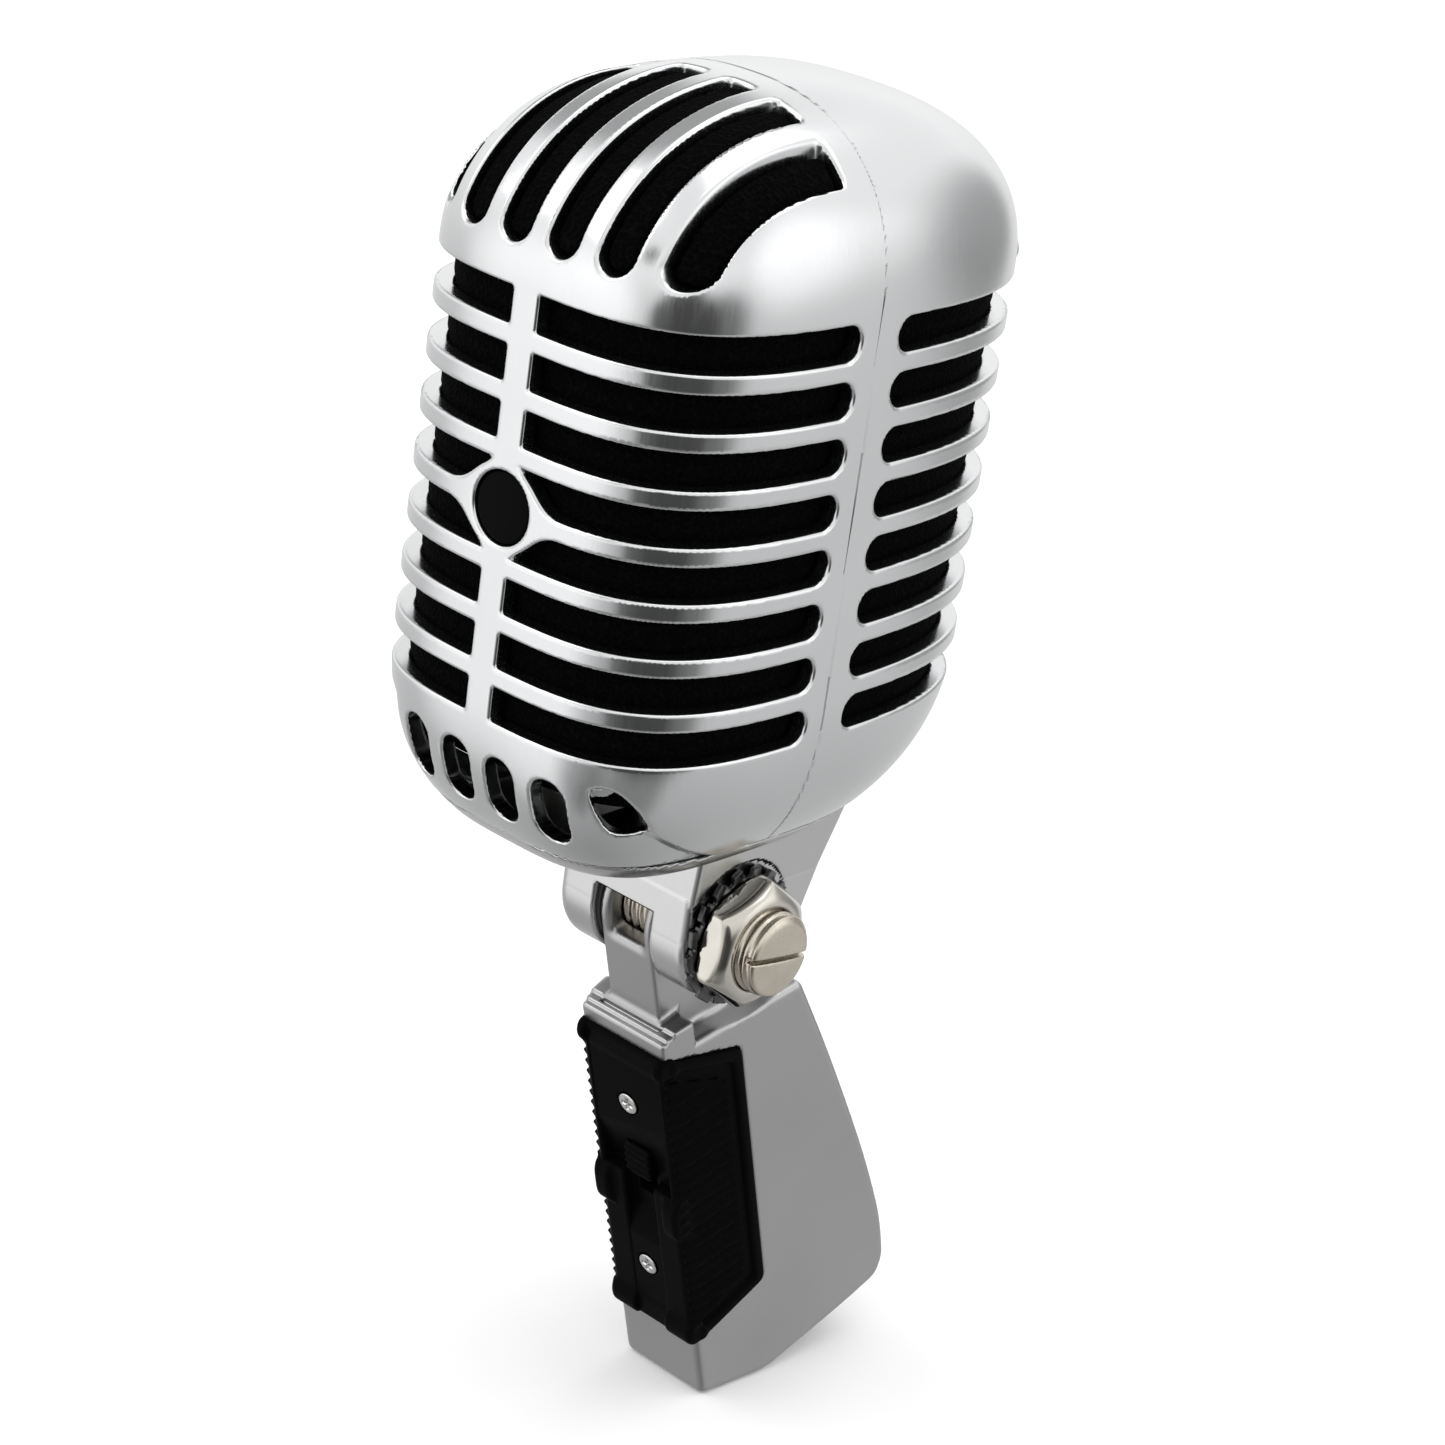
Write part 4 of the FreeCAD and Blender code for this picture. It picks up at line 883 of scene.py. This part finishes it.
def make_handle():
    mesh_field("handle_casting_shell", casting, (-12.8, -13, -93), (12.8, 27, 9.6), 0.45, handle_place,
               "handle", ["handle_casting"], CAST_ROUGH_PAINTED_SHADE, 180000)
    mesh_field("grip_plate_ribbed", grip, (-11, -14.2, -73.5), (11, 3, -15.8), 0.3, handle_place,
               "handle", ["grip_plate"], MATERIALS["grip_black"], 190000)
    mesh_field("switch_slider_knob", slider, (-3.6, -13.2, -45.2), (3.6, -5.4, -35.8), 0.2, handle_place,
               "slider", ["switch_slider"], MATERIALS["switch_black"], 40000)
    mesh_field("grip_screws_cross", grip_screws, (-3.2, -13, -63.2), (3.2, -3.8, -23.4), 0.2, handle_place,
               "handle", ["grip_screws"], MATERIALS["bright_steel"], 60000)


# ---- the stage ------------------------------------------------------------------------------
def make_camera():
    """The viewpoint: turned 39 degrees to the right, 22.5 above, and rolled 8.5 degrees."""
    data = bpy.data.cameras.new("camera")
    data.lens = 84.375
    data.sensor_width = 36
    data.clip_start = 0.01
    data.clip_end = 60
    camera = bpy.data.objects.new("camera", data)
    bpy.context.scene.collection.objects.link(camera)
    azimuth, elevation, roll = (math.radians(a) for a in (39.148, 22.473, 8.471))
    back = Vector((math.sin(azimuth) * math.cos(elevation), -math.cos(azimuth) * math.cos(elevation),
                   math.sin(elevation)))
    right = Vector((math.cos(azimuth), math.sin(azimuth), 0))
    up = back.cross(right)
    tilted_right = right * math.cos(roll) + up * math.sin(roll)
    tilted_up = up * math.cos(roll) - right * math.sin(roll)
    turn = Matrix((tilted_right, tilted_up, back)).transposed().to_4x4()
    camera.matrix_world = Matrix.Translation((0.2655, -0.3414, 0.2811)) @ turn
    bpy.context.scene.camera = camera


def make_floor():
    mesh = bpy.data.meshes.new("floor")
    reach = 6.0
    corners = [(-reach, -reach, -0.0002), (reach, -reach, -0.0002), (reach, reach, -0.0002),
               (-reach, reach, -0.0002)]
    mesh.from_pydata(corners, [], [(0, 1, 2, 3)])
    floor = bpy.data.objects.new("floor", mesh)
    bpy.context.scene.collection.objects.link(floor)
    mat, nodes, links, bsdf = new_material("floor_paper")
    broad = noise(nodes, links, 3, (1, 1, 1), 2.0)
    links.new(tint(nodes, links, broad, (0.86, 0.86, 0.86), (0.88, 0.88, 0.88)), bsdf.inputs["Base Color"])
    bsdf.inputs["Roughness"].default_value = 0.9
    bsdf.inputs["Specular IOR Level"].default_value = 0.1
    mesh.materials.append(mat)
    floor.visible_glossy = False        # the metal mirrors the studio's own floor instead


SKY = [(-1.0, 0.4), (-0.77, 0.6), (-0.38, 0.8), (0.0, 1.05), (0.3, 1.3), (1.0, 1.25)]
LOBES = [
    # azimuth and elevation, where the lobe is full and where it ends, what it adds
    (-25, -16, 12, 42, 0.63),      # white floor to the front left
    (122, 14, 8, 28, 0.45),        # window on the right
]
SHADES = [
    # the same, with the share of the light it takes away
    (38, -12, 13, 23, 0.85),       # the dark edge of the table, towards the viewer
    (60, -14, 14, 25, 0.85),
    (82, -15, 10, 25, 0.75),
    (50, 4, 7, 17, 0.8),           # the unlit room behind the viewer
    (8, -38, 8, 24, 0.55),         # the shade under the head
    (60, -40, 12, 28, 0.5),
    (165, 2, 10, 28, 0.55),        # a grey wall at the back right
    (6, 31, 3, 8, 0.8),            # bars between the windows
    (-39, 32, 2, 7, 0.7),
    (-121, 47, 12, 30, 0.6),
]


def make_world():
    """A white studio painted by direction: its floor, walls and ceiling, and a few soft patches."""
    world = bpy.data.worlds.new("studio")
    bpy.context.scene.world = world
    world.use_nodes = True
    nodes, links = world.node_tree.nodes, world.node_tree.links
    background = nodes["Background"]
    coords = nodes.new("ShaderNodeTexCoord")

    def math_node(operation, a, b):
        node = nodes.new("ShaderNodeMath")
        node.operation = operation
        for socket, value in zip(node.inputs, (a, b)):
            if isinstance(value, float):
                socket.default_value = value
            else:
                links.new(value, socket)
        return node.outputs[0]

    split = nodes.new("ShaderNodeSeparateXYZ")
    links.new(coords.outputs["Generated"], split.inputs[0])
    total = None
    for (low_z, low_value), (high_z, high_value) in zip(SKY, SKY[1:]):
        ramp = nodes.new("ShaderNodeMapRange")
        ramp.inputs["From Min"].default_value = low_z
        ramp.inputs["From Max"].default_value = high_z
        ramp.inputs["To Min"].default_value = low_value if total is None else 0.0
        ramp.inputs["To Max"].default_value = high_value if total is None else high_value - low_value
        links.new(split.outputs["Z"], ramp.inputs["Value"])
        total = ramp.outputs["Result"] if total is None else math_node("ADD", total, ramp.outputs["Result"])
    for patch in LOBES + SHADES:
        azimuth, elevation, inner, outer = (math.radians(angle) for angle in patch[:4])
        dot = nodes.new("ShaderNodeVectorMath")
        dot.operation = "DOT_PRODUCT"
        dot.inputs[1].default_value = (math.sin(azimuth) * math.cos(elevation),
                                       -math.cos(azimuth) * math.cos(elevation), math.sin(elevation))
        links.new(coords.outputs["Generated"], dot.inputs[0])
        shade = patch in SHADES
        ramp = nodes.new("ShaderNodeMapRange")
        ramp.interpolation_type = "SMOOTHSTEP"
        ramp.inputs["From Min"].default_value = math.cos(outer)
        ramp.inputs["From Max"].default_value = math.cos(inner)
        ramp.inputs["To Min"].default_value = 1.0 if shade else 0.0
        ramp.inputs["To Max"].default_value = 1.0 - patch[4] if shade else patch[4]
        links.new(dot.outputs["Value"], ramp.inputs["Value"])
        total = math_node("MULTIPLY" if shade else "ADD", total, ramp.outputs["Result"])
    total = math_node("MAXIMUM", total, 0.08)
    path = nodes.new("ShaderNodeLightPath")
    seen = nodes.new("ShaderNodeMix")
    seen.data_type = "FLOAT"
    links.new(path.outputs["Is Camera Ray"], seen.inputs["Factor"])
    links.new(total, seen.inputs[2])
    seen.inputs[3].default_value = 1.0
    links.new(seen.outputs[0], background.inputs["Strength"])
    background.inputs["Color"].default_value = (1, 1, 1, 1)


def make_lights():
    for name, at, size, power in (("key", (-0.9, -1.1, 1.5), 1.2, 8), ("top", (0.2, 0.5, 1.7), 1.4, 6)):
        data = bpy.data.lights.new(name, "AREA")
        data.energy = power
        data.shape = "SQUARE"
        data.size = size
        light = bpy.data.objects.new(name, data)
        bpy.context.scene.collection.objects.link(light)
        light.location = at
        light.rotation_mode = "QUATERNION"
        light.rotation_quaternion = (Vector((0, 0, 0.1)) - Vector(at)).to_track_quat("-Z", "Y")


def dress_cad_nodes():
    """Every CAD node that still shows gets the material of its slot."""
    slots = {part["node"]: part["material_slot"] for part in frame["record"]["subparts"]}
    for node, obj in frame["nodes"].items():
        material = MATERIALS[slots[node]]
        if obj.material_slots:
            for place in obj.material_slots:
                place.material = material
        else:
            obj.data.materials.append(material)


make_camera()
make_floor()
make_world()
make_lights()
dress_cad_nodes()
make_head()
make_badge()
make_swivel()
make_handle()
bpy.context.scene.view_settings.view_transform = "Standard"
